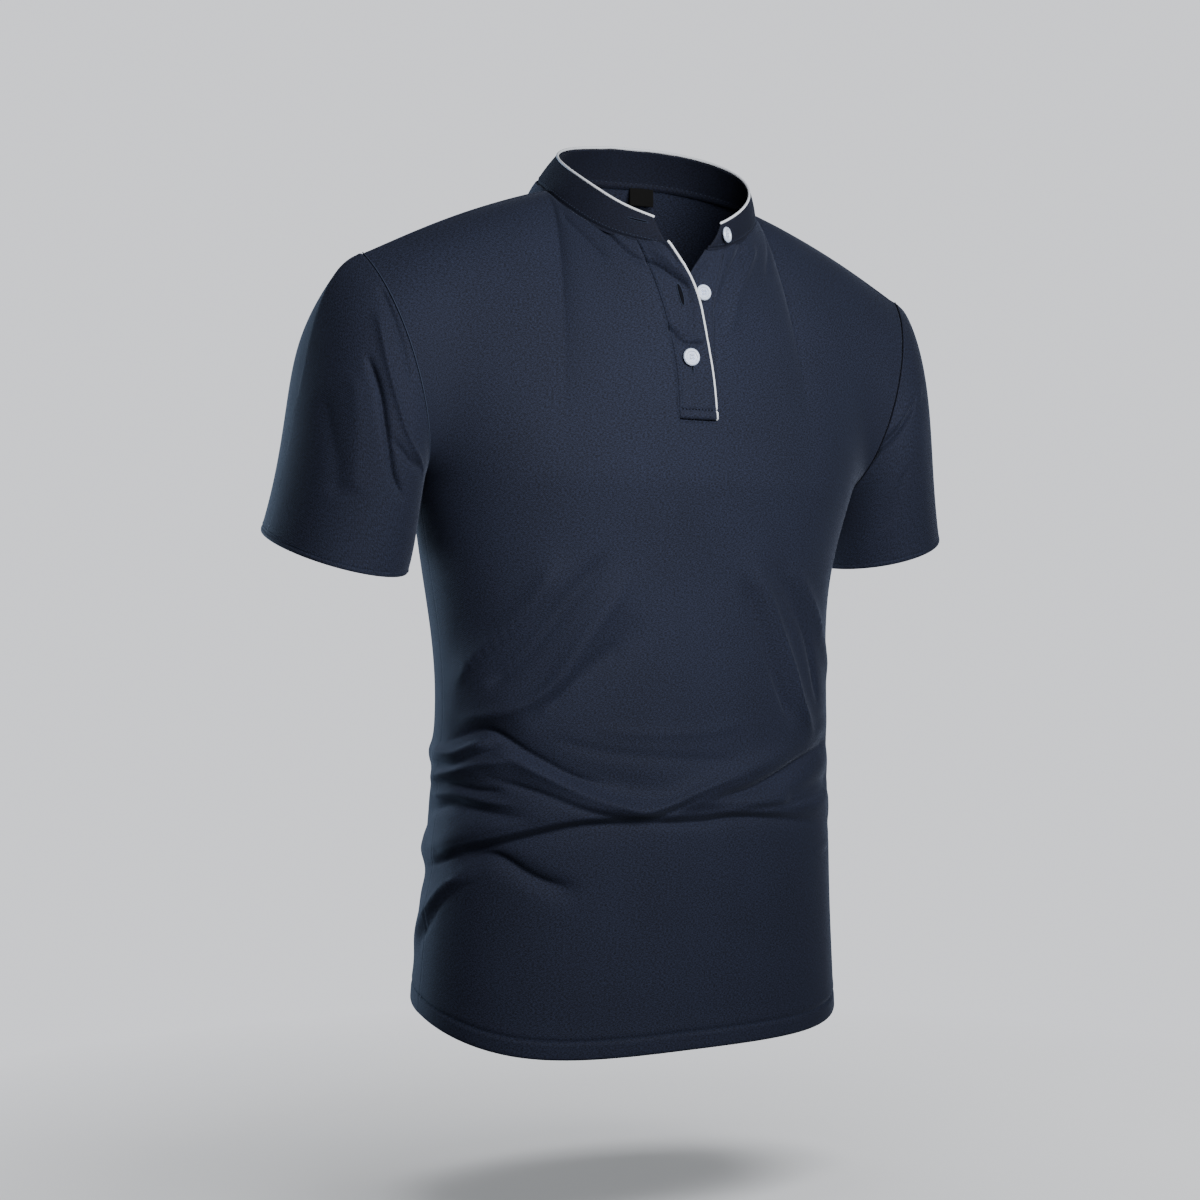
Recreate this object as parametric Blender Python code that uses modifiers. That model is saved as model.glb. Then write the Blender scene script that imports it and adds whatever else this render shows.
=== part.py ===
"""A short-sleeved polo shirt with a band collar and a half placket.

The shirt is hollow and keeps the form that it has when it is worn: front, back and sleeves are
cloth walls that meet at their seams, and neck, hem and cuffs are open.
Frame: metres, +Z up, the shirt's front faces -Y, and +X is the wearer's left. The origin is on the
neck's axis, level with the neck ends of the shoulder seams, where a wearer's shoulders carry it.
The tables below are in millimetres and degrees.
"""

import math
from collections import namedtuple

import bpy
import numpy as np
from mathutils import Matrix, Vector

MM = 0.001

# Driving sizes, in millimetres.
CLOTH = 1.2  # knitted cloth of the body and the sleeves
BAND_CLOTH = 2.0  # the two layers of the collar band
PLACKET_CLOTH = 1.3
SEAM_GAP = 0.3  # between two pieces that are sewn together
UNDERARM_Z = -220.0
NECK_HALF_WIDTH = 86.0
SHOULDER_HALF_WIDTH = 231.0
SHOULDER_TIP_Z = -58.0
SHOULDER_ROUND = 4.5  # how far the shoulder seam rises above a straight line
SHOULDER_Y = 2.0
PIPING_RADIUS = 1.0
BUTTON_RADIUS = 6.4
BUTTON_THICK = 2.4
BUTTON_PROFILE = (  # outwards and upwards, as shares of the radius and the thickness
    (0.0, 0.62),
    (0.62, 0.62),
    (0.74, 1.0),
    (0.93, 0.94),
    (1.0, 0.6),
    (0.9, 0.0),
    (0.0, 0.0),
)
BUTTON_HOLE_RADIUS = 0.85
BUTTON_HOLE_REACH = 1.65  # from the button's middle to the middle of a hole
LABEL_WIDTH, LABEL_HEIGHT, LABEL_CLOTH = 18.0, 15.0, 1.0

# Level sections of the trunk, from below the hem to the underarms: front and back are how far the
# section reaches before and behind the neck's axis, shift is how far it lies to the wearer's left,
# and square is its superellipse power.
Ring = namedtuple("Ring", "z half_width front back shift square")
TRUNK = (
    Ring(-660, 177, 77, 144, -1, 2.15),
    Ring(-600, 174, 77, 142, -1, 2.15),
    Ring(-545, 170, 77, 136, -1, 2.15),
    Ring(-490, 166, 79, 128, -1, 2.15),
    Ring(-430, 163, 80, 122, -1, 2.15),
    Ring(-380, 161, 81, 119, -1, 2.15),
    Ring(-335, 162, 81, 122, -2, 2.15),
    Ring(-285, 168, 81, 124, -3, 2.18),
    Ring(-220, 182, 87, 123, 0, 2.2),
)

# Height of the hem round the trunk: 0 degrees is the front's middle, 90 the wearer's left side.
Hem = namedtuple("Hem", "angle z")
HEM = (
    Hem(-180, -606),
    Hem(-135, -602),
    Hem(-90, -613),
    Hem(-45, -637),
    Hem(0, -637),
    Hem(45, -634),
    Hem(90, -620),
    Hem(135, -613),
    Hem(180, -606),
)

# Columns of cloth from the underarm level to the neckline or shoulder seam, as Bezier curves.
# share is the column's place from the middle (0) to the armhole (1); rise is the first handle,
# measured from the column's foot, and fall the second one, measured from its top.
Column = namedtuple("Column", "share rise_x rise_y rise_z fall_x fall_y fall_z")
FRONT_COLUMNS = (
    Column(0.000, 0, 1, 60, 0, -5, -58),
    Column(0.180, 0, 1, 62, 3, -16, -52),
    Column(0.367, 0, -1, 66, 5, -44, -16),
    Column(0.580, 2, -10, 62, 4, -52, -18),
    Column(0.780, 4, -24, 44, 3, -56, -32),
    Column(1.000, 4, -71, 12, -16, -55, -42),
)
BACK_COLUMNS = (
    Column(0.000, 0, 6, 70, 0, 28, -46),
    Column(0.180, 0, 7, 72, 6, 32, -36),
    Column(0.367, 0, 10, 80, 6, 50, 6),
    Column(0.580, 2, 18, 72, 4, 56, 2),
    Column(0.780, 4, 34, 50, 3, 60, -18),
    Column(1.000, -4, 84, 12, -19, 70, -30),
)
NECK_SHARE = 0.367  # where the neckline meets the shoulder seam

# The neckline and the collar band's top edge, by the angle from the front's middle.
NECK_CENTRE_Y, NECK_DEPTH = 2.0, 78.0
TOP_CENTRE_Y, TOP_HALF_WIDTH, TOP_DEPTH = -9.0, 75.0, 72.0
NeckHeight = namedtuple("NeckHeight", "angle base top")
NECK_HEIGHTS = (
    NeckHeight(-180, 31, 56),
    NeckHeight(-150, 28.5, 49),
    NeckHeight(-120, 19, 36),
    NeckHeight(-90, 2, 18),
    NeckHeight(-65, -20, -1),
    NeckHeight(-45, -36, -17),
    NeckHeight(-25, -44, -28),
    NeckHeight(0, -47, -34),
    NeckHeight(20, -42, -25),
    NeckHeight(40, -29, -11),
    NeckHeight(62, -12, 6),
    NeckHeight(90, 4, 27),
    NeckHeight(120, 20, 44.5),
    NeckHeight(150, 30, 54.5),
    NeckHeight(180, 31, 56),
)
# Ends of the open band: angles from the front's middle on the neckline and on the top edge.
BandEnd = namedtuple("BandEnd", "base top")
RIGHT_END, LEFT_END = BandEnd(-15.0, -27.0), BandEnd(7.0, 15.5)

# The placket: places across the front, by height. The seams are where its strips join the
# front, and the free edges part above the fastened button.
Placket = namedtuple("Placket", "z right_seam right_free left_seam left_free")
PLACKET = (
    Placket(-175, -19.0, 11.0, 11.5, -17.0),
    Placket(-137, -20.5, 8.0, 11.5, -17.0),
    Placket(-104, -26.0, 1.5, 12.5, -15.0),
    Placket(-72, -35.0, -10.0, 18.0, -9.0),
    Placket(-43, -46.0, -28.0, 28.0, 12.5),
)
PLACKET_FOOT_Z = -175.0
UPPER_REST, UPPER_EDGE, UNDER_REST = 0.7, 2.1, -1.0  # faces of the strips over the front's face
FLAP_LIFT = 7.0  # how far the open flap's free edge stands off at the neck
FASTENED_Z, LOOSE_Z = -128.0, -60.0  # the flap lifts between these heights

# Sleeve: the cuff is an ellipse square to the arm, which hangs outwards and a little back.
ARM_OUT, ARM_BACK = 15.0, 8.5  # degrees from the vertical
Cuff = namedtuple("Cuff", "x y z across deep")  # middle, and half sizes outwards and front to back
RIGHT_CUFF, LEFT_CUFF = Cuff(239, 40, -272, 54, 67), Cuff(234, 40, -261, 51, 66)
# Handles of the sleeve's lengthwise curves, by the angle round it: 0 on top, 90 in front.
Handle = namedtuple("Handle", "angle out_x out_y out_z cuff_length")
SLEEVE_HANDLES = (
    Handle(0, 42, 8, -12, 100),
    Handle(90, 22, -10, -30, 60),
    Handle(180, 6, 3, -22, 20),
    Handle(270, 40, 24, -22, 80),
    Handle(320, 62, 30, -14, 100),
    Handle(360, 42, 8, -12, 100),
)

# Folds of the trunk: height is how far the cloth stands out (or in, below zero), above and below
# are the widths of its two flanks, and path runs along it by angle and z.
Fold = namedtuple("Fold", "height above below path")
FOLDS = (
    # The slack that lies on the hips: its overhang, the crease under it and the crease's branch.
    Fold(4.5, 14, 8, ((-104, -494), (-71, -478), (-46, -465), (-18, -456), (14, -455), (84, -471))),
    Fold(-3.5, 6, 13, ((-104, -509), (-71, -492), (-46, -479), (-18, -469), (14, -468), (88, -485))),
    Fold(-3.0, 7, 9, ((-78, -496), (-60, -491), (-43, -508), (-28, -520))),
    # The waist's sag: a trough from the right side to the middle, and the ridge that smiles below.
    Fold(-5.0, 12, 9, ((-96, -409), (-65, -401), (-50, -415), (-32, -436), (-10, -450), (6, -452))),
    Fold(4.0, 9, 9, ((-60, -418), (-48, -428), (-32, -446), (-13, -461), (4, -443), (20, -428), (38, -418))),
    # Pulls from both underarms down to the waist.
    Fold(3.5, 14, 12, ((-12, -275), (-28, -327), (-36, -360), (-48, -384), (-84, -395))),
    Fold(3.0, 12, 12, ((-32, -270), (-46, -312), (-62, -339), (-88, -374))),
    Fold(-2.5, 10, 10, ((-12, -318), (-24, -348), (-38, -380), (-52, -397))),
    Fold(4.5, 10, 10, ((10, -258), (20, -301), (26, -330), (36, -380), (47, -412))),
    Fold(3.0, 10, 10, ((26, -270), (42, -307), (58, -341), (72, -366))),
    # Creases that run up to the left side seam.
    Fold(-4.0, 8, 8, ((-2, -453), (18, -445), (42, -424), (74, -411))),
    Fold(-3.0, 7, 7, ((26, -457), (44, -450), (72, -441))),
    # Small folds at the right side seam, and the pull below them towards the hem.
    Fold(3.0, 7, 7, ((-104, -419), (-80, -419), (-60, -409))),
    Fold(3.0, 7, 7, ((-104, -441), (-77, -432), (-50, -422))),
    Fold(-3.0, 7, 7, ((-106, -462), (-76, -457), (-41, -465))),
    Fold(4.0, 10, 10, ((-106, -578), (-95, -540), (-78, -514), (-62, -502))),
    # The same slack across the back.
    Fold(4.0, 10, 10, ((98, -417), (140, -430), (190, -437), (235, -428), (264, -412))),
    Fold(-3.5, 10, 10, ((100, -435), (140, -448), (190, -455), (235, -446), (262, -432))),
    Fold(4.0, 12, 9, ((100, -474), (150, -484), (195, -480), (240, -490), (268, -497))),
    Fold(-3.0, 8, 12, ((104, -490), (150, -500), (195, -496), (240, -505), (266, -512))),
    Fold(3.0, 13, 13, ((112, -290), (134, -335), (160, -378), (176, -396))),
    Fold(3.0, 13, 13, ((248, -285), (228, -335), (204, -380), (190, -398))),
)
# Folds of a sleeve, by the angle round it and the length down it.
SLEEVE_RUN = 200.0  # length from armhole to cuff that the folds are placed on
SLEEVE_FOLDS = (
    Fold(3.0, 11, 11, ((40, 55), (72, 95), (104, 118), (135, 128))),
    Fold(-3.0, 11, 11, ((58, 40), (92, 72), (125, 92), (150, 100))),
    Fold(2.5, 12, 12, ((322, 60), (290, 100), (255, 122), (225, 130))),
    Fold(-2.5, 11, 11, ((304, 44), (270, 76), (236, 96), (212, 104))),
)


def spline(xs, ys, at):
    """The natural cubic spline through the points (xs, ys), read at the places in at."""
    xs, ys = np.asarray(xs, float), np.asarray(ys, float)
    step, count = np.diff(xs), len(xs)
    slope = np.diff(ys) / step
    system, right = np.eye(count), np.zeros(count)
    for i in range(1, count - 1):
        system[i, i - 1 : i + 2] = step[i - 1], 2 * (step[i - 1] + step[i]), step[i]
        right[i] = 6 * (slope[i] - slope[i - 1])
    bend = np.linalg.solve(system, right)
    at = np.asarray(at, float)
    i = np.clip(np.searchsorted(xs, at) - 1, 0, count - 2)
    h, left, ahead = step[i], at - xs[i], xs[i + 1] - at
    curve = (bend[i] * ahead**3 + bend[i + 1] * left**3) / (6 * h)
    return curve + (ys[i] / h - bend[i] * h / 6) * ahead + (ys[i + 1] / h - bend[i + 1] * h / 6) * left


def column_of(table, name):
    """One named column of a table."""
    return [getattr(row, name) for row in table]


def read(table, name, at):
    """A table's column as a smooth function of its first column."""
    return spline([row[0] for row in table], column_of(table, name), at)


def stack(x, y, z):
    return np.stack(np.broadcast_arrays(x, y, z), axis=-1).astype(float)


def power(value, exponent):
    return np.sign(value) * np.abs(value) ** exponent


def wrap(angle):
    """The same direction as an angle from -180 to 180."""
    return (np.asarray(angle, float) + 180) % 360 - 180


def trunk_point(angle, z):
    """A point of the trunk's level section: a superellipse with unequal front and back."""
    half_width, square = read(TRUNK, "half_width", z), read(TRUNK, "square", z)
    front, back = read(TRUNK, "front", z), read(TRUNK, "back", z)
    a = np.radians(angle)
    x = read(TRUNK, "shift", z) + half_width * power(np.sin(a), 2 / square)
    y = (back - front) / 2 - (back + front) / 2 * power(np.cos(a), 2 / square)
    return stack(x, y, z)


def neckline_point(angle):
    """A point of the neckline: 0 is the front's middle, 90 the neck's left side."""
    a = np.radians(angle)
    y = NECK_CENTRE_Y - NECK_DEPTH * np.cos(a)
    return stack(NECK_HALF_WIDTH * np.sin(a), y, read(NECK_HEIGHTS, "base", wrap(angle)))


def shoulder_point(along, side):
    """A point of the shoulder seam: along runs from 0 at the neck to 1 at the armhole."""
    neck = neckline_point(90.0 * side)
    tip = stack(side * SHOULDER_HALF_WIDTH, SHOULDER_Y, SHOULDER_TIP_Z)
    seam = neck + (tip - neck) * along[..., None]
    seam[..., 2] += SHOULDER_ROUND * np.sin(math.pi * along)
    return seam


def top_edge(share, behind):
    """The panel's top edge: the neckline up to the neck's side, then the shoulder seam."""
    side, size = np.where(share < 0, -1.0, 1.0), np.abs(share)
    turn = 90 * side * np.clip(size / NECK_SHARE, 0, 1)
    neck = neckline_point(180 - turn if behind else turn)
    along = np.clip((size - NECK_SHARE) / (1 - NECK_SHARE), 0, 1)
    return np.where((size > NECK_SHARE)[..., None], shoulder_point(along, side), neck)


def bezier(p0, p1, p2, p3, t):
    t = np.asarray(t)[..., None]
    return p0 * (1 - t) ** 3 + 3 * p1 * t * (1 - t) ** 2 + 3 * p2 * t**2 * (1 - t) + p3 * t**3


def panel_point(share, rise, behind):
    """A point of the front or back panel, before its folds.

    share runs from -1 at the wearer's right side to 1 at the left. rise runs from 0 at the hem
    to 1 at the underarms, along the trunk's level sections, and to 2 at the top edge.
    """
    share, rise = np.broadcast_arrays(np.asarray(share, float), np.asarray(rise, float))
    angle = 180 - 90 * share if behind else 90 * share
    hem = read(HEM, "z", wrap(angle))
    z = hem + (UNDERARM_Z - hem) * np.clip(rise, 0, 1)
    low = trunk_point(angle, z)
    columns, side = (BACK_COLUMNS if behind else FRONT_COLUMNS), np.sign(share)
    size = np.abs(share)
    lift = stack(*[read(columns, f"rise_{axis}", size) for axis in "xyz"])
    fall = stack(*[read(columns, f"fall_{axis}", size) for axis in "xyz"])
    lift[..., 0] *= side
    fall[..., 0] *= side
    foot, top = trunk_point(angle, np.full(angle.shape, UNDERARM_Z)), top_edge(share, behind)
    high = bezier(foot, foot + lift, top + fall, top, np.clip(rise - 1, 0, 1))
    return np.where((rise > 1)[..., None], high, low)


def fold_height(folds, angle, along, per_degree):
    """How far folds move the cloth at points given by angle and a length along the garment.

    Each fold is a ridge or trough whose height falls off as a bell on both flanks of its path,
    and fades over the first and last fifth of its length.
    """
    moved = np.zeros(np.shape(angle))
    for fold in folds:
        path = np.array(fold.path, float)
        at = np.linspace(0, 1, 40)
        knots = np.linspace(0, 1, len(path))
        line_a, line_z = (spline(knots, path[:, k], at) for k in (0, 1))
        across = wrap(angle[..., None] - line_a) * per_degree
        up = along[..., None] - line_z
        distance = np.hypot(across, up)
        nearest = distance.argmin(axis=-1)
        pick = nearest[..., None]
        away = np.take_along_axis(distance, pick, -1)[..., 0]
        above = np.take_along_axis(up, pick, -1)[..., 0] > 0
        place = at[nearest]
        fade = np.clip(np.minimum(place, 1 - place) / 0.2, 0, 1)
        fade = fade * fade * (3 - 2 * fade)
        width = np.where(above, fold.above, fold.below)
        moved += fold.height * fade * np.exp(-((away / width) ** 2))
    return moved


TRUNK_PER_DEGREE = 2.5  # millimetres of cloth round the trunk for one degree


def cloth_point(share, rise, behind, lift=0.0):
    """A point of the panel's outer face with its folds, moved out by lift millimetres."""
    share, rise = np.broadcast_arrays(np.asarray(share, float), np.asarray(rise, float))
    ds, dr = 0.004, 0.004
    left, right = np.clip(share - ds, -1, 1), np.clip(share + ds, -1, 1)
    low, high = np.clip(rise - dr, 0, 2), np.clip(rise + dr, 0, 2)
    across = panel_point(right, rise, behind) - panel_point(left, rise, behind)
    upward = panel_point(share, high, behind) - panel_point(share, low, behind)
    normal = np.cross(across, upward)
    if behind:
        normal = -normal
    normal /= np.linalg.norm(normal, axis=-1, keepdims=True)
    point = panel_point(share, rise, behind)
    angle = wrap(180 - 90 * share if behind else 90 * share)
    out = fold_height(FOLDS, angle, point[..., 2], TRUNK_PER_DEGREE) + lift
    return point + normal * out[..., None]


def share_at(x, rise):
    """The share at which the front panel passes the place x, for each rise."""
    grid = np.linspace(-0.4, 0.4, 161)
    found = [np.interp(want, panel_point(grid, level, False)[:, 0], grid) for want, level in zip(x, rise)]
    return np.array(found)


def rise_at(z):
    """The rise at which the front's middle passes the height z."""
    grid = np.linspace(1, 2, 201)
    return float(np.interp(z, panel_point(0 * grid, grid, False)[:, 2], grid))


def trimmed(rise, share):
    """The rise of a panel's rows, drawn back a little from the neckline and the shoulder seam."""
    past_neck = np.clip((np.abs(share) - NECK_SHARE + 0.05) / 0.1, 0, 1)
    trim = NECK_TRIM + (SHOULDER_TRIM - NECK_TRIM) * past_neck
    return np.where(rise > 1, 1 + (rise - 1) * (1 - trim), rise)


def placket_share(name, rise):
    """A placket edge's share, for each rise; below the placket's foot it runs straight down."""
    z = np.clip([panel_point(0.0, level, False)[2] for level in rise], PLACKET_FOOT_Z, None)
    x = read(PLACKET, name, z)
    return share_at(x, np.maximum(rise, rise_at(PLACKET_FOOT_Z)))


def spans(*parts):
    """Places along a line: each part is (start, end, cells), and the parts follow each other."""
    pieces = [np.linspace(a, b, n + 1)[:-1] for a, b, n in parts]
    return np.concatenate([*pieces, [parts[-1][1]]])


def new_material(name, colour, roughness):
    material = bpy.data.materials.new(name)
    material.use_nodes = True
    shader = material.node_tree.nodes["Principled BSDF"]
    shader.inputs["Base Color"].default_value = (*colour, 1.0)
    shader.inputs["Roughness"].default_value = roughness
    return material


def mesh_object(name, points, faces, material, collection, edges=()):
    """A mesh object from points in millimetres."""
    mesh = bpy.data.meshes.new(name)
    mesh.from_pydata((np.asarray(points) * MM).tolist(), list(edges), faces)
    mesh.shade_smooth()
    mesh.materials.append(material)
    thing = bpy.data.objects.new(name, mesh)
    collection.objects.link(thing)
    return thing


def sheet(name, grid, material, collection, thick, skip=None, closed=False, flip=False):
    """A cloth wall on a grid of outer points, given its thickness inwards by Solidify.

    skip(row, column) leaves a cell out, closed joins the last column to the first.
    """
    rows, columns = grid.shape[:2]
    faces = []
    for row in range(rows - 1):
        for column in range(columns if closed else columns - 1):
            if skip and skip(row, column):
                continue
            ahead = (column + 1) % columns
            face = (
                row * columns + column,
                row * columns + ahead,
                (row + 1) * columns + ahead,
                (row + 1) * columns + column,
            )
            faces.append(face[::-1] if flip else face)
    used = sorted({corner for face in faces for corner in face})
    place = {corner: i for i, corner in enumerate(used)}
    faces = [tuple(place[corner] for corner in face) for face in faces]
    thing = mesh_object(name, grid.reshape(-1, 3)[used], faces, material, collection)
    solid = thing.modifiers.new("thickness", "SOLIDIFY")
    solid.thickness = thick * MM
    solid.offset = -1.0
    solid.use_rim = True
    return thing


# Rows of the panels: close together where the waist folds lie.
LOW_ROWS = ((0.0, 0.2, 3), (0.2, 0.68, 16), (0.68, 1.0, 5))
SIDE_EDGE = 1 - 0.0018  # the share at which a panel ends, so that side seams keep their gap
NECK_TRIM, SHOULDER_TRIM = 0.0018, 0.0062  # the part of a top column that its seam gap takes


def side_columns(inner):
    """Shares of the columns from an inner edge, given row by row, to the side seam."""
    to_neck = inner[:, None] + (NECK_SHARE - inner[:, None]) * np.linspace(0, 1, 5)[:-1]
    to_side = spans((NECK_SHARE, 0.8, 6), (0.8, SIDE_EDGE, 3))
    return np.concatenate([to_neck, np.broadcast_to(to_side, (len(inner), len(to_side)))], axis=1)


def front_panel(collection, material):
    """The front, with the placket's opening cut down from the neckline."""
    foot = rise_at(PLACKET_FOOT_Z)
    rise = spans(*LOW_ROWS, (1.0, foot, 3), (foot, 2.0, 9))
    right, left = placket_share("right_seam", rise), placket_share("left_seam", rise)
    middle = np.linspace(0, 1, 3)[1:-1]
    from_right = -side_columns(-right)[:, ::-1]
    between = right[:, None] + (left - right)[:, None] * middle
    share = np.concatenate([from_right, between, side_columns(left)], axis=1)
    grid = cloth_point(share, trimmed(rise[:, None], share), False)
    opening_row = int(np.argmin(np.abs(rise - foot)))
    first = from_right.shape[1] - 1
    last = first + len(middle) + 1

    def in_opening(row, column):
        return row >= opening_row and first <= column < last

    return sheet("front", grid, material, collection, CLOTH, skip=in_opening)


def back_panel(collection, material):
    """The back, in one piece from side seam to side seam."""
    foot = rise_at(PLACKET_FOOT_Z)
    rise = spans(*LOW_ROWS, (1.0, foot, 3), (foot, 1.88, 5), (1.88, 2.0, 4))
    half = spans((0.0, NECK_SHARE, 4), (NECK_SHARE, 0.8, 5), (0.8, SIDE_EDGE, 3))
    share = np.concatenate([-half[:0:-1], half])
    grid = cloth_point(share[None, :], trimmed(rise[:, None], share), True)
    return sheet("back", grid, material, collection, CLOTH, flip=True)


def armhole(count, side):
    """One armhole's edge: a closed loop from the shoulder, down the front and up the back."""
    rise = np.linspace(2, 1, count + 1)
    front = cloth_point(1.0 * side, rise, False)
    back = cloth_point(1.0 * side, rise[::-1], True)
    return np.concatenate([front, back[1:-1]]) * np.array([side, 1, 1])


def cuff_ring(turn, cuff):
    """Points of a cuff's edge, mirrored to the wearer's left, by the angle round the sleeve."""
    out, back = math.radians(ARM_OUT), math.radians(ARM_BACK)
    axis = np.array([math.sin(out), math.sin(back), -math.cos(out) * math.cos(back)])
    axis /= np.linalg.norm(axis)
    forward = np.cross(axis, [1.0, 0, 0])
    forward /= -np.linalg.norm(forward) * np.sign(forward[1])
    outward = np.cross(axis, forward)
    outward *= np.sign(outward[0])
    a = np.radians(turn)[:, None]
    ring = cuff.across * np.cos(a) * outward + cuff.deep * np.sin(a) * forward
    return np.array(cuff[:3]) + ring, axis


def sleeve_grid(cells_along, cells_half, side):
    """Outer points of a sleeve, ring by ring from the armhole to the cuff."""
    start = armhole(cells_half, side)
    turn = np.linspace(0, 360, len(start), endpoint=False)
    end, axis = cuff_ring(turn, LEFT_CUFF if side > 0 else RIGHT_CUFF)
    out = stack(*[read(SLEEVE_HANDLES, f"out_{k}", turn) for k in "xyz"])
    inset = read(SLEEVE_HANDLES, "cuff_length", turn)[:, None]
    along = spans((0.0, 1.0, cells_along))[:, None]
    begun = start + SEAM_GAP * 1.6 * out / np.linalg.norm(out, axis=1, keepdims=True)
    grid = bezier(begun[None], (start + out)[None], (end - inset * axis)[None], end[None], along)
    normal = np.cross(np.gradient(grid, axis=0), np.roll(grid, -1, 1) - np.roll(grid, 1, 1))
    normal /= np.linalg.norm(normal, axis=-1, keepdims=True)
    centre = grid.mean(axis=1, keepdims=True)
    normal *= np.sign((normal * (grid - centre)).sum(-1, keepdims=True))
    moved = fold_height(SLEEVE_FOLDS, *np.broadcast_arrays(turn[None, :], SLEEVE_RUN * along), 1.0)
    return (grid + normal * moved[..., None]) * np.array([side, 1, 1])


def sleeve(collection, material, side):
    """One sleeve: side is 1 for the wearer's left and -1 for the right."""
    grid = sleeve_grid(12, 12, side)
    name = "sleeve_left" if side > 0 else "sleeve_right"
    return sheet(name, grid, material, collection, CLOTH, closed=True, flip=side < 0)


def band_point(turn, height):
    """A point of the collar band's outer face; height runs from 0 at the neckline to 1."""
    a = np.radians(turn)
    base = neckline_point(turn)
    y = TOP_CENTRE_Y - TOP_DEPTH * np.cos(a)
    top = stack(TOP_HALF_WIDTH * np.sin(a), y, read(NECK_HEIGHTS, "top", wrap(turn)))
    return base + (top - base) * np.asarray(height)[..., None]


def band_turn(share, height):
    """The angle round the neck at a share of the band's length, for its slanting ends."""
    start = 360 + RIGHT_END.base + (RIGHT_END.top - RIGHT_END.base) * height
    end = LEFT_END.base + (LEFT_END.top - LEFT_END.base) * height
    return start + (end - start) * share


def collar_band(collection, material):
    height = np.linspace(0.026, 1, 4)[:, None]
    turn = band_turn(np.linspace(0, 1, 37)[None, :], height)
    grid = band_point(turn, np.broadcast_to(height, turn.shape))
    return sheet("collar_band", grid, material, collection, BAND_CLOTH, flip=True)


def tube(name, points, radius, material, collection, resolution=1):
    """A round cord of cloth along points in millimetres."""
    curve = bpy.data.curves.new(name, "CURVE")
    curve.dimensions = "3D"
    curve.bevel_depth = radius * MM
    curve.bevel_resolution = resolution
    curve.use_fill_caps = True
    line = curve.splines.new("POLY")
    line.points.add(len(points) - 1)
    for place, point in zip(line.points, points):
        place.co = (*(point * MM), 1.0)
    thing = bpy.data.objects.new(name, curve)
    curve.materials.append(material)
    collection.objects.link(thing)
    return thing


def collar_piping(collection, material):
    """The white piping along the band's top edge."""
    turn = band_turn(np.linspace(0, 1, 49), 1.0)
    edge = band_point(turn, np.ones(len(turn)))
    inward = np.array([0, TOP_CENTRE_Y, 0]) - edge
    inward[:, 2] = 0
    inward /= np.linalg.norm(inward, axis=1, keepdims=True)
    line = edge + inward * BAND_CLOTH / 2 + np.array([0, 0, PIPING_RADIUS + 1.5 * SEAM_GAP])
    return tube("collar_piping", line, PIPING_RADIUS, material, collection)


def placket_lift(z, width_share):
    """How far the open flap stands off the chest: most at its free edge, at the neck."""
    open_share = np.clip((z - FASTENED_Z) / (LOOSE_Z - FASTENED_Z), 0, 1)
    return FLAP_LIFT * open_share**2 * (3 - 2 * open_share) * width_share**1.5


def placket_grid(seam, free, seam_lift, free_lift, flap):
    """Outer points of a placket strip, row by row from its foot to the neckline."""
    foot = rise_at(PLACKET_FOOT_Z)
    rise = np.linspace(foot + 0.004, 2.0 - NECK_TRIM, 13)
    gap = math.copysign(0.0022, placket_share(free, rise[:1])[0] - placket_share(seam, rise[:1])[0])
    start, end = placket_share(seam, rise) + gap, placket_share(free, rise)
    width = np.linspace(0, 1, 4)
    share = start[:, None] + (end - start)[:, None] * width
    level = np.broadcast_to(rise[:, None], share.shape)
    z = panel_point(share, level, False)[..., 2]
    lift = seam_lift + (free_lift - seam_lift) * width[None, :]
    if flap:
        lift = lift + placket_lift(z, width[None, :])
    return cloth_point(share, level, False, lift)


def plackets(collection, material):
    upper = placket_grid("right_seam", "right_free", UPPER_REST, UPPER_EDGE, True)
    under = placket_grid("left_seam", "left_free", UNDER_REST, UNDER_REST, False)
    sheet("placket_upper", upper, material, collection, PLACKET_CLOTH)
    sheet("placket_under", under, material, collection, PLACKET_CLOTH, flip=True)
    return upper, under


def placket_piping(collection, material, upper):
    """The white piping along the upper placket's free edge."""
    edge, inner = upper[:, -1], upper[:, -2]
    across = edge - inner
    across /= np.linalg.norm(across, axis=1, keepdims=True)
    normal = np.cross(across, np.gradient(edge, axis=0))
    normal /= np.linalg.norm(normal, axis=1, keepdims=True)
    line = edge + across * (PIPING_RADIUS + SEAM_GAP) - normal * PLACKET_CLOTH / 2
    at = np.linspace(0, len(line) - 1, 25)
    line = np.stack([spline(np.arange(len(line)), line[:, k], at) for k in range(3)], axis=1)
    return tube("placket_piping", line, PIPING_RADIUS, material, collection)


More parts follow.
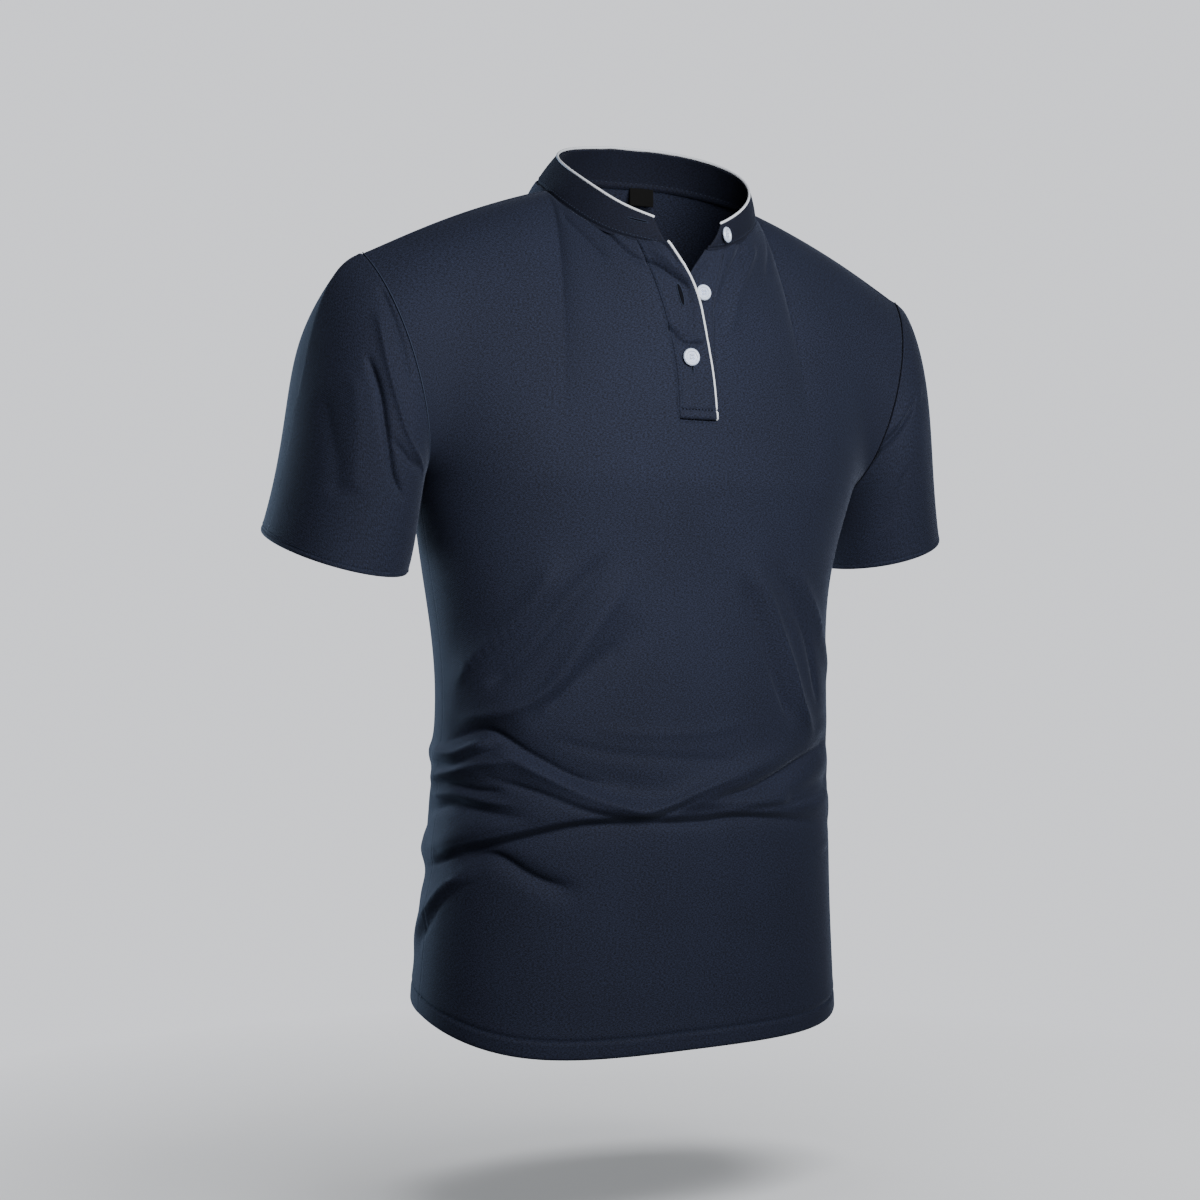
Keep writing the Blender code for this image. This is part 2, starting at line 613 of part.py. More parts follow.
def button(name, place, normal, material, collection, cutters):
    """A turned four-hole button whose back is at place, facing along normal."""
    r, h = BUTTON_RADIUS, BUTTON_THICK
    points = [(r * out, 0, h * up) for out, up in BUTTON_PROFILE]
    edges = [(i, i + 1) for i in range(len(points) - 1)]
    thing = mesh_object(name, points, [], material, collection, edges)
    turned = thing.modifiers.new("turned", "SCREW")
    turned.steps = turned.render_steps = 16
    turned.use_merge_vertices = True
    turned.merge_threshold = 0.00001
    turned.use_normal_calculate = True
    for k in range(4):
        a = math.radians(45 + 90 * k)
        bpy.ops.mesh.primitive_cylinder_add(vertices=6, radius=BUTTON_HOLE_RADIUS * MM, depth=3 * h * MM)
        hole = bpy.context.object
        hole.name = f"{name}_hole_{k}"
        hole.location = Vector((math.cos(a), math.sin(a), 0)) * BUTTON_HOLE_REACH * MM
        hole.hide_render = True
        hole.display_type = "WIRE"
        for home in list(hole.users_collection):
            home.objects.unlink(hole)
        cutters.objects.link(hole)
        hole.parent = thing
        cut = thing.modifiers.new(f"hole_{k}", "BOOLEAN")
        cut.operation = "DIFFERENCE"
        cut.object = hole
    spin = Vector(normal).to_track_quat("Z", "Y").to_matrix().to_4x4()
    thing.matrix_world = Matrix.Translation(Vector(place) * MM) @ spin
    return thing


def grid_place(grid, row, column, out):
    """A point above a grid of cloth points, and the cloth's normal there."""
    r, c = int(row), int(column)
    fr, fc = row - r, column - c
    corners = grid[r : r + 2, c : c + 2]
    low = corners[0, 0] * (1 - fc) + corners[0, 1] * fc
    high = corners[1, 0] * (1 - fc) + corners[1, 1] * fc
    across, upward = corners[0, 1] - corners[0, 0], high - low
    normal = np.cross(across, upward)
    normal *= -np.sign(normal[1]) / np.linalg.norm(normal)
    return low + (high - low) * fr + normal * out, normal


# Buttons: on which grid, at which height, and how far across the strip.
BUTTON_CLEAR = 0.9  # the thread shank under a button
FASTENED_BUTTON_Z, OPEN_BUTTON_Z = -129.0, -80.0
COLLAR_BUTTON_TURN, COLLAR_BUTTON_HEIGHT = 18.0, 0.42


def row_at(grid, column, z):
    return float(np.interp(z, grid[:, column, 2], np.arange(len(grid))))


def buttons(collection, cutters, material, upper, under):
    place, normal = grid_place(upper, row_at(upper, 1, FASTENED_BUTTON_Z), 1.35, BUTTON_CLEAR)
    button("button_fastened", place, normal, material, collection, cutters)
    place, normal = grid_place(under, row_at(under, 1, OPEN_BUTTON_Z), 1.3, BUTTON_CLEAR)
    button("button_open", place, normal, material, collection, cutters)
    turn = COLLAR_BUTTON_TURN + np.array([[0, 2.0], [0, 2.0]])
    height = COLLAR_BUTTON_HEIGHT + np.array([[0, 0], [0.1, 0.1]])
    place, normal = grid_place(band_point(turn, height), 0, 0, BUTTON_CLEAR)
    button("button_collar", place, normal, material, collection, cutters)


LABEL_TURN, LABEL_TOP, LABEL_GAP = 157.0, 1.98, 1.5


def size_label(collection, material):
    """The woven label that hangs straight down from the neck seam inside the back."""
    share = (180 - LABEL_TURN) / 90 * NECK_SHARE
    half = LABEL_WIDTH / 2 / NECK_HALF_WIDTH * NECK_SHARE * 0.72
    across = np.linspace(share - half, share + half, 3)[None, :]
    grid = np.repeat(cloth_point(across, LABEL_TOP, True, -CLOTH - LABEL_GAP), 3, axis=0)
    grid[..., 2] -= np.array([LABEL_HEIGHT, LABEL_HEIGHT / 2, 0])[:, None]
    return sheet("size_label", grid, material, collection, LABEL_CLOTH, flip=True)


def new_collection(name):
    collection = bpy.data.collections.new(name)
    bpy.context.scene.collection.children.link(collection)
    return collection


def main():
    for thing in list(bpy.data.objects):
        bpy.data.objects.remove(thing)
    shirt, cutters = new_collection("polo_shirt"), new_collection("cutters")
    cutters.hide_render = True
    navy = new_material("navy_knit", (0.012, 0.022, 0.055), 0.85)
    white = new_material("white_piping", (0.85, 0.86, 0.9), 0.7)
    pearl = new_material("pearl_button", (0.72, 0.77, 0.92), 0.25)
    black = new_material("label_black", (0.01, 0.01, 0.011), 0.8)
    front_panel(shirt, navy)
    back_panel(shirt, navy)
    for side in (1, -1):
        sleeve(shirt, navy, side)
    collar_band(shirt, navy)
    collar_piping(shirt, white)
    upper, under = plackets(shirt, navy)
    placket_piping(shirt, white, upper)
    buttons(shirt, cutters, pearl, upper, under)
    size_label(shirt, black)


if __name__ == "__main__":
    main()
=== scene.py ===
"""The polo shirt dressed for its picture: knit, seams, stitches, folds, light and camera.

Frame: metres, +Z up, the shirt's front faces -Y and +X is the wearer's left. The tables are in
millimetres and degrees, and the shapes they drive are worked out in millimetres. The first part
repeats the sizes that the solids are built from, and the second adds what only the cloth shows.
"""

import logging
import math
from collections.abc import Sequence
from dataclasses import dataclass
from enum import Enum
from typing import Any, NamedTuple

import bpy
import numpy as np
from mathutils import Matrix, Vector


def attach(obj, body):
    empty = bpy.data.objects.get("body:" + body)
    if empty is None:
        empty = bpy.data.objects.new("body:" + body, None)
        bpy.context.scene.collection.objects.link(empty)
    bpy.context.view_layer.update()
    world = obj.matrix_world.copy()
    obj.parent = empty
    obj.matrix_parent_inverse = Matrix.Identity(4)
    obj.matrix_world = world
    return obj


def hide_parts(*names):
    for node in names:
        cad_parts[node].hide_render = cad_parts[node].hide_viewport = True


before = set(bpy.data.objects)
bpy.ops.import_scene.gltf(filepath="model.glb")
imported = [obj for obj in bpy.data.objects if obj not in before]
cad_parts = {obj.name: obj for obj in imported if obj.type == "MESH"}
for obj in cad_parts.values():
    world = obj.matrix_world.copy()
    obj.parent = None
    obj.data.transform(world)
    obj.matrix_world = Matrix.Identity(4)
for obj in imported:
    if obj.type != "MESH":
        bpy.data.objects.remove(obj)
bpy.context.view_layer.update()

LOG = logging.getLogger("polo_shirt")
Array = np.ndarray
Spot = tuple[Array, Array]
Colour = tuple[float, float, float, float]
Thing = bpy.types.Object
Material = bpy.types.Material
MM = 0.001
CLOTH_UV = "cloth"

CLOTH = 1.2
BAND_CLOTH = 2.0
PLACKET_CLOTH = 1.3
UNDERARM_Z = -220.0
NECK_HALF_WIDTH = 86.0
SHOULDER_HALF_WIDTH = 231.0
SHOULDER_TIP_Z = -58.0
SHOULDER_ROUND = 4.5
SHOULDER_Y = 2.0
PIPING_RADIUS = 1.0
NECK_CENTRE_Y, NECK_DEPTH = 2.0, 78.0
TOP_CENTRE_Y, TOP_HALF_WIDTH, TOP_DEPTH = -9.0, 75.0, 72.0
NECK_SHARE = 0.367
PLACKET_FOOT_Z = -175.0
FLAP_LIFT, FASTENED_Z, LOOSE_Z = 7.0, -128.0, -60.0
UPPER_REST, UPPER_EDGE, UNDER_SEAM, UNDER_EDGE = 0.2, 2.1, -0.3, -1.5
ARM_OUT, ARM_BACK = 15.0, 8.5
SLEEVE_RUN = 200.0
TRUNK_PER_DEGREE = 2.5
NECK_PER_DEGREE = 4.15

# What the cloth alone shows: the hem, and the lengths of cloth that the seams' reliefs are
# measured by, across a half panel, over the shoulder and up to the neck.
HEM_DEPTH, HEM_GROOVE = 13.0, 1.3
SIDE_RUN, SHOULDER_RUN, NECK_RUN = 235.0, 210.0, 190.0
# How much of a seam's relief the side seam has, and the left and the right armhole.
SIDE_SEAM_DEPTH, ARMHOLE_DEPTHS = 0.1, (1.0, 0.4)
ARMHOLE_CELLS = 96
# Steps along a fold's path, and the share of its length over which each end fades.
FOLD_STEPS, FOLD_FADE = 60, 0.2
WRINKLE_SEED, WRINKLE_COUNT = 7, 40
# In radii of a cord: how far a piping's middle lies beyond the edge, the size of the last ring of
# a rounded end and how far out its tip is, and how far out that ring is.
PIPING_SET = 0.85
CAP_SHARE, CAP_STEP = 0.6, 0.45
BUTTON_OFF = 0.9


class Side(Enum):
    """The wearer's two sides, by the sign of x."""

    LEFT = 1
    RIGHT = -1


class Slot(Enum):
    """The material slots that the shirt's pieces have."""

    KNIT = "navy_knit"
    PIPING = "white_piping"
    BUTTON = "pearl_button"
    LABEL = "label_black"


class Stitch(NamedTuple):
    """A kind of sewn row: from one stitch to the next, a stitch's length, the thread's radius."""

    pitch: float
    length: float
    radius: float


class Ring(NamedTuple):
    """A level section of the trunk."""

    z: float
    half_width: float
    front: float
    back: float
    shift: float
    square: float


class Hem(NamedTuple):
    """The hem's height at an angle round the trunk."""

    angle: float
    z: float


class Column(NamedTuple):
    """A column of cloth from the underarm level to the top edge, as two Bezier handles."""

    share: float
    rise_x: float
    rise_y: float
    rise_z: float
    fall_x: float
    fall_y: float
    fall_z: float


class NeckHeight(NamedTuple):
    """Heights of the neckline and of the band's top edge at an angle round the neck."""

    angle: float
    base: float
    top: float


class BandEnd(NamedTuple):
    """An end of the open band: its angles on the neckline and on the top edge."""

    base: float
    top: float


class PlacketRow(NamedTuple):
    """Places across the front of the placket's seams and free edges."""

    z: float
    right_seam: float
    right_free: float
    left_seam: float
    left_free: float


class Cuff(NamedTuple):
    """A cuff's middle, its half sizes outwards and front to back, and its edge's slopes those ways."""

    x: float
    y: float
    z: float
    across: float
    deep: float
    rise_out: float
    rise_back: float


class Handle(NamedTuple):
    """Handles of a sleeve's lengthwise curve at an angle round it: 0 on top, 90 in front."""

    angle: float
    out_x: float
    out_y: float
    out_z: float
    cuff_length: float


class Fold(NamedTuple):
    """A fold: its height, the widths of its upper and lower flank, its path and its crispness.

    crisp is the exponent of the flank's bell: 2 is round, 1 comes to an edge.
    """

    height: float
    above: float
    below: float
    path: tuple[tuple[float, float], ...]
    crisp: float


def rows(kind: Any, text: str) -> tuple[Any, ...]:
    """A table of one kind of row, from lines of its numbers."""
    return tuple(kind(*map(float, line.split())) for line in text.strip().splitlines())


def folds(text: str) -> tuple[Fold, ...]:
    """Folds, from lines of height, above, below and crisp, then the path's angles and places."""
    table = [list(map(float, line.split())) for line in text.strip().splitlines()]
    return tuple(Fold(*row[:3], tuple(zip(row[4::2], row[5::2])), row[3]) for row in table)


HEM_STITCH = Stitch(3.0, 2.5, 0.32)
CUFF_STITCH = Stitch(2.8, 2.1, 0.22)
BAND_STITCH = Stitch(2.8, 2.1, 0.28)
BAND_INNER_STITCH = Stitch(4.2, 2.2, 0.25)
BOX_STITCH = Stitch(2.6, 1.9, 0.42)
SEAM_STITCH = Stitch(2.8, 2.1, 0.26)
NECK_STITCH = Stitch(2.8, 2.0, 0.3)
BEAD_PITCH, BEAD_LENGTH = 0.62, 0.9
# A stitch's thickness and height along its length, in radii of its thread.
STITCH_SIZE = (0.25, 0.85, 1.0, 0.85, 0.25)
STITCH_SUNK = (-0.9, 0.1, 0.45, 0.1, -0.9)

TRUNK = rows(Ring, """
-660 177 77 144 -1 2.15
-600 174 77 142 -1 2.15
-545 170 77 136 -1 2.15
-490 166 79 128 -1 2.15
-430 163 80 122 -1 2.15
-380 161 81 119 -1 2.15
-335 162 81 122 -2 2.15
-285 168 81 124 -3 2.18
-220 182 87 123 0 2.2
""")
HEM = tuple(
    Hem(angle, z)
    for angle, z in zip(range(-180, 181, 45), (-606, -602, -613, -637, -637, -634, -620, -613, -606))
)
FRONT_COLUMNS = rows(Column, """
0 0 1 60 0 -5 -58
0.18 0 1 62 3 -16 -52
0.367 0 -1 66 5 -44 -16
0.58 2 -10 62 4 -52 -18
0.78 4 -24 44 3 -56 -32
1 4 -71 12 -16 -55 -42
""")
BACK_COLUMNS = rows(Column, """
0 0 6 70 0 28 -46
0.18 0 7 72 6 32 -36
0.367 0 10 80 6 50 6
0.58 2 18 72 4 56 2
0.78 4 34 50 3 60 -18
1 -4 84 12 -19 70 -30
""")
NECK_HEIGHTS = rows(NeckHeight, """
-180 31 56
-150 28.5 49
-120 19 36
-90 2 18
-65 -20 -1
-45 -36 -17
-25 -44 -28
0 -47 -34
20 -42 -25
40 -29 -11
62 -12 6
90 4 27
120 20 44.5
150 30 54.5
180 31 56
""")
RIGHT_END, LEFT_END = BandEnd(-15.0, -27.0), BandEnd(7.0, 15.5)
PLACKET = rows(PlacketRow, """
-175 -19 11 11.5 -17
-137 -20.5 8 11.5 -17
-104 -26 1.5 12.5 -15
-72 -35 -10 18 -9
-43 -46 -28 28 12.5
""")
CUFFS = {
    Side.RIGHT: Cuff(239, 40, -270, 54, 67, -0.11, 0.145),
    Side.LEFT: Cuff(234, 40, -258, 51, 66, 0.064, 0.0),
}
SLEEVE_HANDLES = rows(Handle, """
0 42 8 -12 100
90 22 -10 -30 60
180 6 3 -22 20
270 40 24 -22 80
320 62 30 -14 100
360 42 8 -12 100
""")

# The folds that the solids have.
MAIN_FOLDS = folds("""
4.5 14 7 2 -104 -494 -71 -478 -46 -465 -18 -456 14 -455 84 -471
-3.2 4.5 8 2 -104 -509 -71 -492 -46 -479 -18 -469 14 -468 88 -485
-3 7 9 2 -78 -496 -60 -491 -43 -508 -28 -520
-5 12 9 2 -96 -409 -65 -401 -50 -415 -32 -436 -10 -450 6 -452
4 9 9 2 -60 -418 -48 -428 -32 -446 -13 -461 4 -443 20 -428 38 -418
3.5 14 12 2 -12 -275 -28 -327 -36 -360 -48 -384 -84 -395
3 12 12 2 -32 -270 -46 -312 -62 -339 -88 -374
-2.5 10 10 2 -12 -318 -24 -348 -38 -380 -52 -397
2.8 9 9 2 10 -258 20 -301 26 -330 36 -380 47 -412
1.8 9 9 2 26 -270 42 -307 58 -341 72 -366
-4 8 8 2 -2 -453 18 -445 42 -424 74 -411
-3 7 7 2 26 -457 44 -450 72 -441
3 7 7 2 -104 -419 -80 -419 -60 -409
3 7 7 2 -104 -441 -77 -432 -50 -422
-3 7 7 2 -106 -462 -76 -457 -41 -465
4 10 10 2 -106 -578 -95 -540 -78 -514 -62 -502
4 10 10 2 98 -417 140 -430 190 -437 235 -428 264 -412
-3.5 10 10 2 100 -435 140 -448 190 -455 235 -446 262 -432
4 12 9 2 100 -474 150 -484 195 -480 240 -490 268 -497
-3 8 12 2 104 -490 150 -500 195 -496 240 -505 266 -512
3 13 13 2 112 -290 134 -335 160 -378 176 -396
3 13 13 2 248 -285 228 -335 204 -380 190 -398
""")
# The smaller and sharper folds that only the dressed cloth has.
FINE_FOLDS = folds("""
-1.8 10 10 2 -106 -578 -95 -540 -78 -514 -62 -502
2.2 11 8 2 -90 -411 -65 -401 -50 -415 -32 -436 -14 -448
1.8 4.5 7 2 -104 -509 -71 -492 -46 -479 -18 -469 14 -468 60 -478
-3.8 1.9 2.3 1.3 -100 -509 -71 -491 -46 -478 -26 -469 0 -470 14 -468 54 -480
1.9 2.7 2 1.4 -98 -501 -71 -485 -46 -472 -26 -464 0 -464 14 -463 54 -474
-3.2 2.3 3.9 1.5 -74 -495 -60 -491 -51 -498 -43 -508 -32 -516
-4.4 2.6 2.2 1.3 -88 -412 -70 -402 -60 -403 -50 -415 -40 -427 -32 -436 -20 -444
2.9 2.7 2.7 1.3 -66 -411 -48 -427 -32 -445 -20 -456 -13 -460 -4 -451 4 -441 14 -435
-2.6 2 2.5 1.4 -66 -433 -50 -442 -39 -450 -28 -460 -14 -466 -6 -460 3 -448
3.4 2.7 3.6 1.3 15 -276 20 -297 26 -328 33 -362 37 -386 46 -410
-4.6 4.4 4 1.5 12 -284 17 -316 22 -345 28 -378 34 -402
2.3 2.7 2.7 1.3 27 -278 36 -293 46 -313 54 -335
-3.1 3.6 3.6 1.6 24 -280 32 -305 40 -330 46 -361 50 -387
3.4 3.6 3.6 1.4 -16 -283 -22 -310 -31 -338 -38 -362 -50 -383 -66 -391 -82 -396
-3.2 3.2 4.1 1.5 -17 -338 -24 -347 -32 -361 -38 -376 -44 -387
3.4 3.1 3.1 1.3 -34 -279 -42 -301 -50 -321 -62 -341 -82 -372
-4.4 4.6 4.6 1.6 -20 -272 -28 -292 -37 -315 -46 -338 -57 -359 -66 -370
2.6 2.8 2.8 1.4 -98 -415 -81 -419 -70 -413 -58 -407
-2.2 2.3 2.3 1.4 -97 -425 -80 -427 -68 -420 -56 -414
2.6 2.8 2.8 1.4 -96 -437 -78 -432 -66 -426 -52 -423
-2.9 2.3 2.8 1.4 -98 -440 -79 -441 -66 -445 -54 -445
-2.9 2.7 2.7 1.4 -100 -463 -84 -457 -74 -456 -62 -461 -44 -465
2.2 2.8 2.8 1.5 -98 -452 -80 -449 -66 -452 -48 -456
-3.2 2.3 2.7 1.4 0 -455 12 -449 20 -443 30 -434 42 -425 66 -414
1.3 3 3.5 1.4 2 -449 14 -442 24 -434 36 -424 60 -410
-1.8 2.3 2.3 1.6 8 -463 28 -460 44 -456 66 -450
2 2.7 2.7 1.4 -100 -562 -92 -541 -80 -518 -68 -506
-1.9 2.3 2.7 1.5 -96 -566 -86 -540 -76 -522 -62 -509
-1.1 4.3 5.5 1.7 -44 -404 -30 -414 -16 -420 2 -424 18 -428
0.8 4.3 4.3 1.7 -30 -399 -14 -404 2 -403 16 -396
""")
# Pulls from the neck seam and to the fastened button, which also cross the placket.
NECK_FOLDS = folds("""
-3.6 1.8 2 1.3 -19 -33 -17 -37 -14 -50 -11 -58 -8 -62 -4 -74 -2 -81
-2.2 1.8 2 1.5 -8.6 -42 -7.2 -46 -5.8 -52 -4.7 -59 -3.8 -64
0.9 2.6 2.6 1.5 -12 -44 -9.7 -49 -7.7 -54 -5.3 -62 -3 -73 -2 -80
-2.4 1.4 1.8 1.4 -8 -104 -5.5 -111 -3.7 -118 -1.5 -119 1 -119
1.5 2 2 1.4 -7 -101 -4.5 -108 -3.5 -111.5 -1.5 -114.5 1 -115
-1.5 3.5 3.5 1.6 -3.4 -72 -3 -78 -2.2 -92 -2 -109 -1.6 -118
-4.2 3.6 4 1.6 13 -36 11.5 -42 9 -55 6.7 -69 5 -82 4.3 -92 3.8 -104
2.4 3.5 3.5 1.6 17 -38 15 -44 11.5 -62 9 -78 7.2 -98 6.4 -112
-1.8 2.4 2.4 1.5 3.2 -54 1.5 -60 0 -68 -1 -74
-1.8 4 4 1.7 -30 -18 -24 -36 -17 -60
-1.5 5 5 1.7 30 -18 25 -36 19 -62
""")
SLEEVE_FOLDS = folds("""
2.5 12 12 2 322 60 290 100 255 122 225 130
-2.5 11 11 2 304 44 270 76 236 96 212 104
""")
FINE_SLEEVE_FOLDS = {
    Side.RIGHT: folds("""
        -5.2 4 4 1.3 44 62 53 63 65 70 74 82 83 95 90 107 100 115 112 120
        2.8 5 5 1.4 38 22 47 30 66 45 85 57 102 62 124 52 134 46
        -2 4 4 1.4 28 6 37 8 54 11 74 16 88 22
        -2.6 4 4 1.4 84 92 95 82 109 75 124 57 132 50
        -1.5 9 8 1.6 22 108 29 117 37 128 47 140 51 152 54 162
        1.2 9 9 1.6 42 80 49 92 58 115 63 138 66 150
    """),
    Side.LEFT: folds("""
        -5 3.4 3.4 1.4 138 -6 126 0 116 4 101 18 88 28 76 36 66 42
        0.9 6 5 1.5 120 -4 110 2 89 22 64 45 52 56
        -1 8 8 1.7 96 78 110 112 118 150
    """),
}


def spline(xs: Sequence[float], ys: Sequence[float], at: Array) -> Array:
    """The natural cubic spline through the points (xs, ys).

    Args:
        xs: rising places of the points.
        ys: values there.
        at: places to read.

    Returns:
        The spline's values at those places.
    """
    xs, ys = np.asarray(xs, float), np.asarray(ys, float)
    step, count = np.diff(xs), len(xs)
    slope = np.diff(ys) / step
    system, right = np.eye(count), np.zeros(count)
    for i in range(1, count - 1):
        system[i, i - 1 : i + 2] = step[i - 1], 2 * (step[i - 1] + step[i]), step[i]
        right[i] = 6 * (slope[i] - slope[i - 1])
    bend = np.linalg.solve(system, right)
    at = np.asarray(at, float)
    i = np.clip(np.searchsorted(xs, at) - 1, 0, count - 2)
    h, left, ahead = step[i], at - xs[i], xs[i + 1] - at
    curve = (bend[i] * ahead**3 + bend[i + 1] * left**3) / (6 * h)
    return curve + (ys[i] / h - bend[i] * h / 6) * ahead + (ys[i + 1] / h - bend[i + 1] * h / 6) * left


def read(table: Sequence[Any], name: str, at: Array) -> Array:
    """A table's named column as a smooth function of its first column."""
    return spline([row[0] for row in table], [getattr(row, name) for row in table], at)


def stack(x: Any, y: Any, z: Any) -> Array:
    """Points from their three coordinates."""
    return np.stack(np.broadcast_arrays(x, y, z), axis=-1).astype(float)


def power(value: Array, exponent: Array) -> Array:
    """A signed power."""
    return np.sign(value) * np.abs(value) ** exponent


def wrap(angle: Array) -> Array:
    """The same direction as an angle from -180 to 180."""
    return (np.asarray(angle, float) + 180) % 360 - 180


def smooth(value: Array) -> Array:
    """The step 3 v^2 - 2 v^3 of a value held between 0 and 1."""
    value = np.clip(value, 0, 1)
    return value * value * (3 - 2 * value)


def bell(distance: Array, width: float) -> Array:
    """exp(-(distance / width)^2)."""
    return np.exp(-((distance / width) ** 2))


def unit(vectors: Array) -> Array:
    """Vectors at length 1."""
    return vectors / np.maximum(np.linalg.norm(vectors, axis=-1, keepdims=True), 1e-9)


def trunk_point(angle: Array, z: Array) -> Array:
    """A point of the trunk's level section.

    The section is a superellipse: x = w sin(a)^(2/n) and y = (b - f) / 2 - (b + f) / 2 cos(a)^(2/n),
    with w, f, b and n read from the table at the height z.
    """
    half_width, square = read(TRUNK, "half_width", z), read(TRUNK, "square", z)
    front, back = read(TRUNK, "front", z), read(TRUNK, "back", z)
    a = np.radians(angle)
    x = read(TRUNK, "shift", z) + half_width * power(np.sin(a), 2 / square)
    y = (back - front) / 2 - (back + front) / 2 * power(np.cos(a), 2 / square)
    return stack(x, y, z)


def neckline_point(angle: Array) -> Array:
    """A point of the neckline: an ellipse in plan, with its height read from the table."""
    a = np.radians(angle)
    y = NECK_CENTRE_Y - NECK_DEPTH * np.cos(a)
    return stack(NECK_HALF_WIDTH * np.sin(a), y, read(NECK_HEIGHTS, "base", wrap(angle)))


def shoulder_point(along: Array, side: Array) -> Array:
    """A point of the shoulder seam, from 0 at the neck to 1 at the armhole."""
    neck = neckline_point(90.0 * side)
    tip = stack(side * SHOULDER_HALF_WIDTH, SHOULDER_Y, SHOULDER_TIP_Z)
    seam = neck + (tip - neck) * along[..., None]
    seam[..., 2] += SHOULDER_ROUND * np.sin(math.pi * along)
    return seam


def top_edge(share: Array, behind: bool) -> Array:
    """The panel's top edge: the neckline up to the neck's side, then the shoulder seam."""
    side, size = np.where(share < 0, -1.0, 1.0), np.abs(share)
    turn = 90 * side * np.clip(size / NECK_SHARE, 0, 1)
    neck = neckline_point(180 - turn if behind else turn)
    along = np.clip((size - NECK_SHARE) / (1 - NECK_SHARE), 0, 1)
    return np.where((size > NECK_SHARE)[..., None], shoulder_point(along, side), neck)


def bezier(p0: Array, p1: Array, p2: Array, p3: Array, t: Array) -> Array:
    """The cubic Bezier curve of four points at t."""
    t = np.asarray(t)[..., None]
    return p0 * (1 - t) ** 3 + 3 * p1 * t * (1 - t) ** 2 + 3 * p2 * t**2 * (1 - t) + p3 * t**3


def panel_angle(share: Array, behind: bool) -> Array:
    """The angle round the trunk at a panel's share."""
    return 180 - 90 * share if behind else 90 * share


def panel_point(share: Array, rise: Array, behind: bool) -> Array:
    """A point of the front or back panel, before its folds.

    Args:
        share: from -1 at the wearer's right side to 1 at the left.
        rise: 0 at the hem, 1 at the underarms, along the level sections, and 2 at the top edge.
        behind: True for the back panel.

    Returns:
        Points in millimetres: up to the underarms on the level sections, and above them on a
        Bezier curve from the section to the top edge.
    """
    share, rise = np.broadcast_arrays(np.asarray(share, float), np.asarray(rise, float))
    angle = panel_angle(share, behind)
    hem = read(HEM, "z", wrap(angle))
    z = hem + (UNDERARM_Z - hem) * np.clip(rise, 0, 1)
    low = trunk_point(angle, z)
    columns, side = (BACK_COLUMNS if behind else FRONT_COLUMNS), np.sign(share)
    size = np.abs(share)
    lift, fall = (
        stack(*[read(columns, f"{word}_{axis}", size) for axis in "xyz"]) for word in ("rise", "fall")
    )
    lift[..., 0] *= side
    fall[..., 0] *= side
    foot, top = trunk_point(angle, np.full(angle.shape, UNDERARM_Z)), top_edge(share, behind)
    high = bezier(foot, foot + lift, top + fall, top, np.clip(rise - 1, 0, 1))
    return np.where((rise > 1)[..., None], high, low)


def fold_height(folds: Sequence[Fold], angle: Array, along: Array, per_degree: float) -> Array:
    """How far folds move the cloth.

    Each fold is h exp(-(d / w)^c) with d the distance from its path, w the width of the flank and
    c its crispness, and it fades over the first and last fifth of its length.

    Args:
        folds: the folds.
        angle: angle of each point.
        along: length of each point along the garment.
        per_degree: millimetres of cloth for one degree.

    Returns:
        The sum of the folds at each point, in millimetres.
    """
    moved = np.zeros(np.shape(angle))
    for fold in folds:
        path = np.array(fold.path, float)
        at = np.linspace(0, 1, FOLD_STEPS)
        knots = np.linspace(0, 1, len(path))
        line_a, line_z = (spline(knots, path[:, k], at) for k in (0, 1))
        reach = 3.0 * max(fold.above, fold.below) + 2.0
        middle = (line_a.min() + line_a.max()) / 2
        half = (line_a.max() - line_a.min()) / 2 + reach / per_degree
        near = (np.abs(wrap(angle - middle)) < half) & (along > line_z.min() - reach)
        near &= along < line_z.max() + reach
        if not near.any():
            continue
        a = wrap(angle[near][:, None] - middle) * per_degree
        z = along[near][:, None]
        x0, z0 = wrap(line_a - middle) * per_degree, line_z
        dx, dz = np.diff(x0), np.diff(z0)
        t = np.clip(((a - x0[:-1]) * dx + (z - z0[:-1]) * dz) / np.maximum(dx**2 + dz**2, 1e-9), 0, 1)
        away = np.hypot(a - x0[:-1] - t * dx, z - z0[:-1] - t * dz)
        nearest = away.argmin(axis=1)[:, None]
        distance = np.take_along_axis(away, nearest, 1)[:, 0]
        part = np.take_along_axis(t, nearest, 1)[:, 0]
        cell = nearest[:, 0]
        place = (cell + part) / (FOLD_STEPS - 1)
        over = (z[:, 0] - z0[cell] - part * dz[cell]) * 4.0
        mix = smooth(over / (np.abs(over) + distance + 1e-6) * 0.5 + 0.5)
        width = fold.below + (fold.above - fold.below) * mix
        fade = smooth(np.minimum(place, 1 - place) / FOLD_FADE)
        moved[near] += fold.height * fade * np.exp(-((distance / width) ** fold.crisp))
    return moved


def surface_normal(share: Array, rise: Array, behind: bool) -> Array:
    """The outward normal of the panel before its folds, from differences along share and rise."""
    step = 0.004
    left, right = np.clip(share - step, -1, 1), np.clip(share + step, -1, 1)
    low, high = np.clip(rise - step, 0, 2), np.clip(rise + step, 0, 2)
    across = panel_point(right, rise, behind) - panel_point(left, rise, behind)
    upward = panel_point(share, high, behind) - panel_point(share, low, behind)
    normal = np.cross(across, upward)
    return unit(-normal if behind else normal)


def share_at(x: Array, rise: Array) -> Array:
    """The share at which the front panel passes the place x, for each rise."""
    grid = np.linspace(-0.4, 0.4, 161)
    found = [np.interp(want, panel_point(grid, level, False)[:, 0], grid) for want, level in zip(x, rise)]
    return np.array(found)


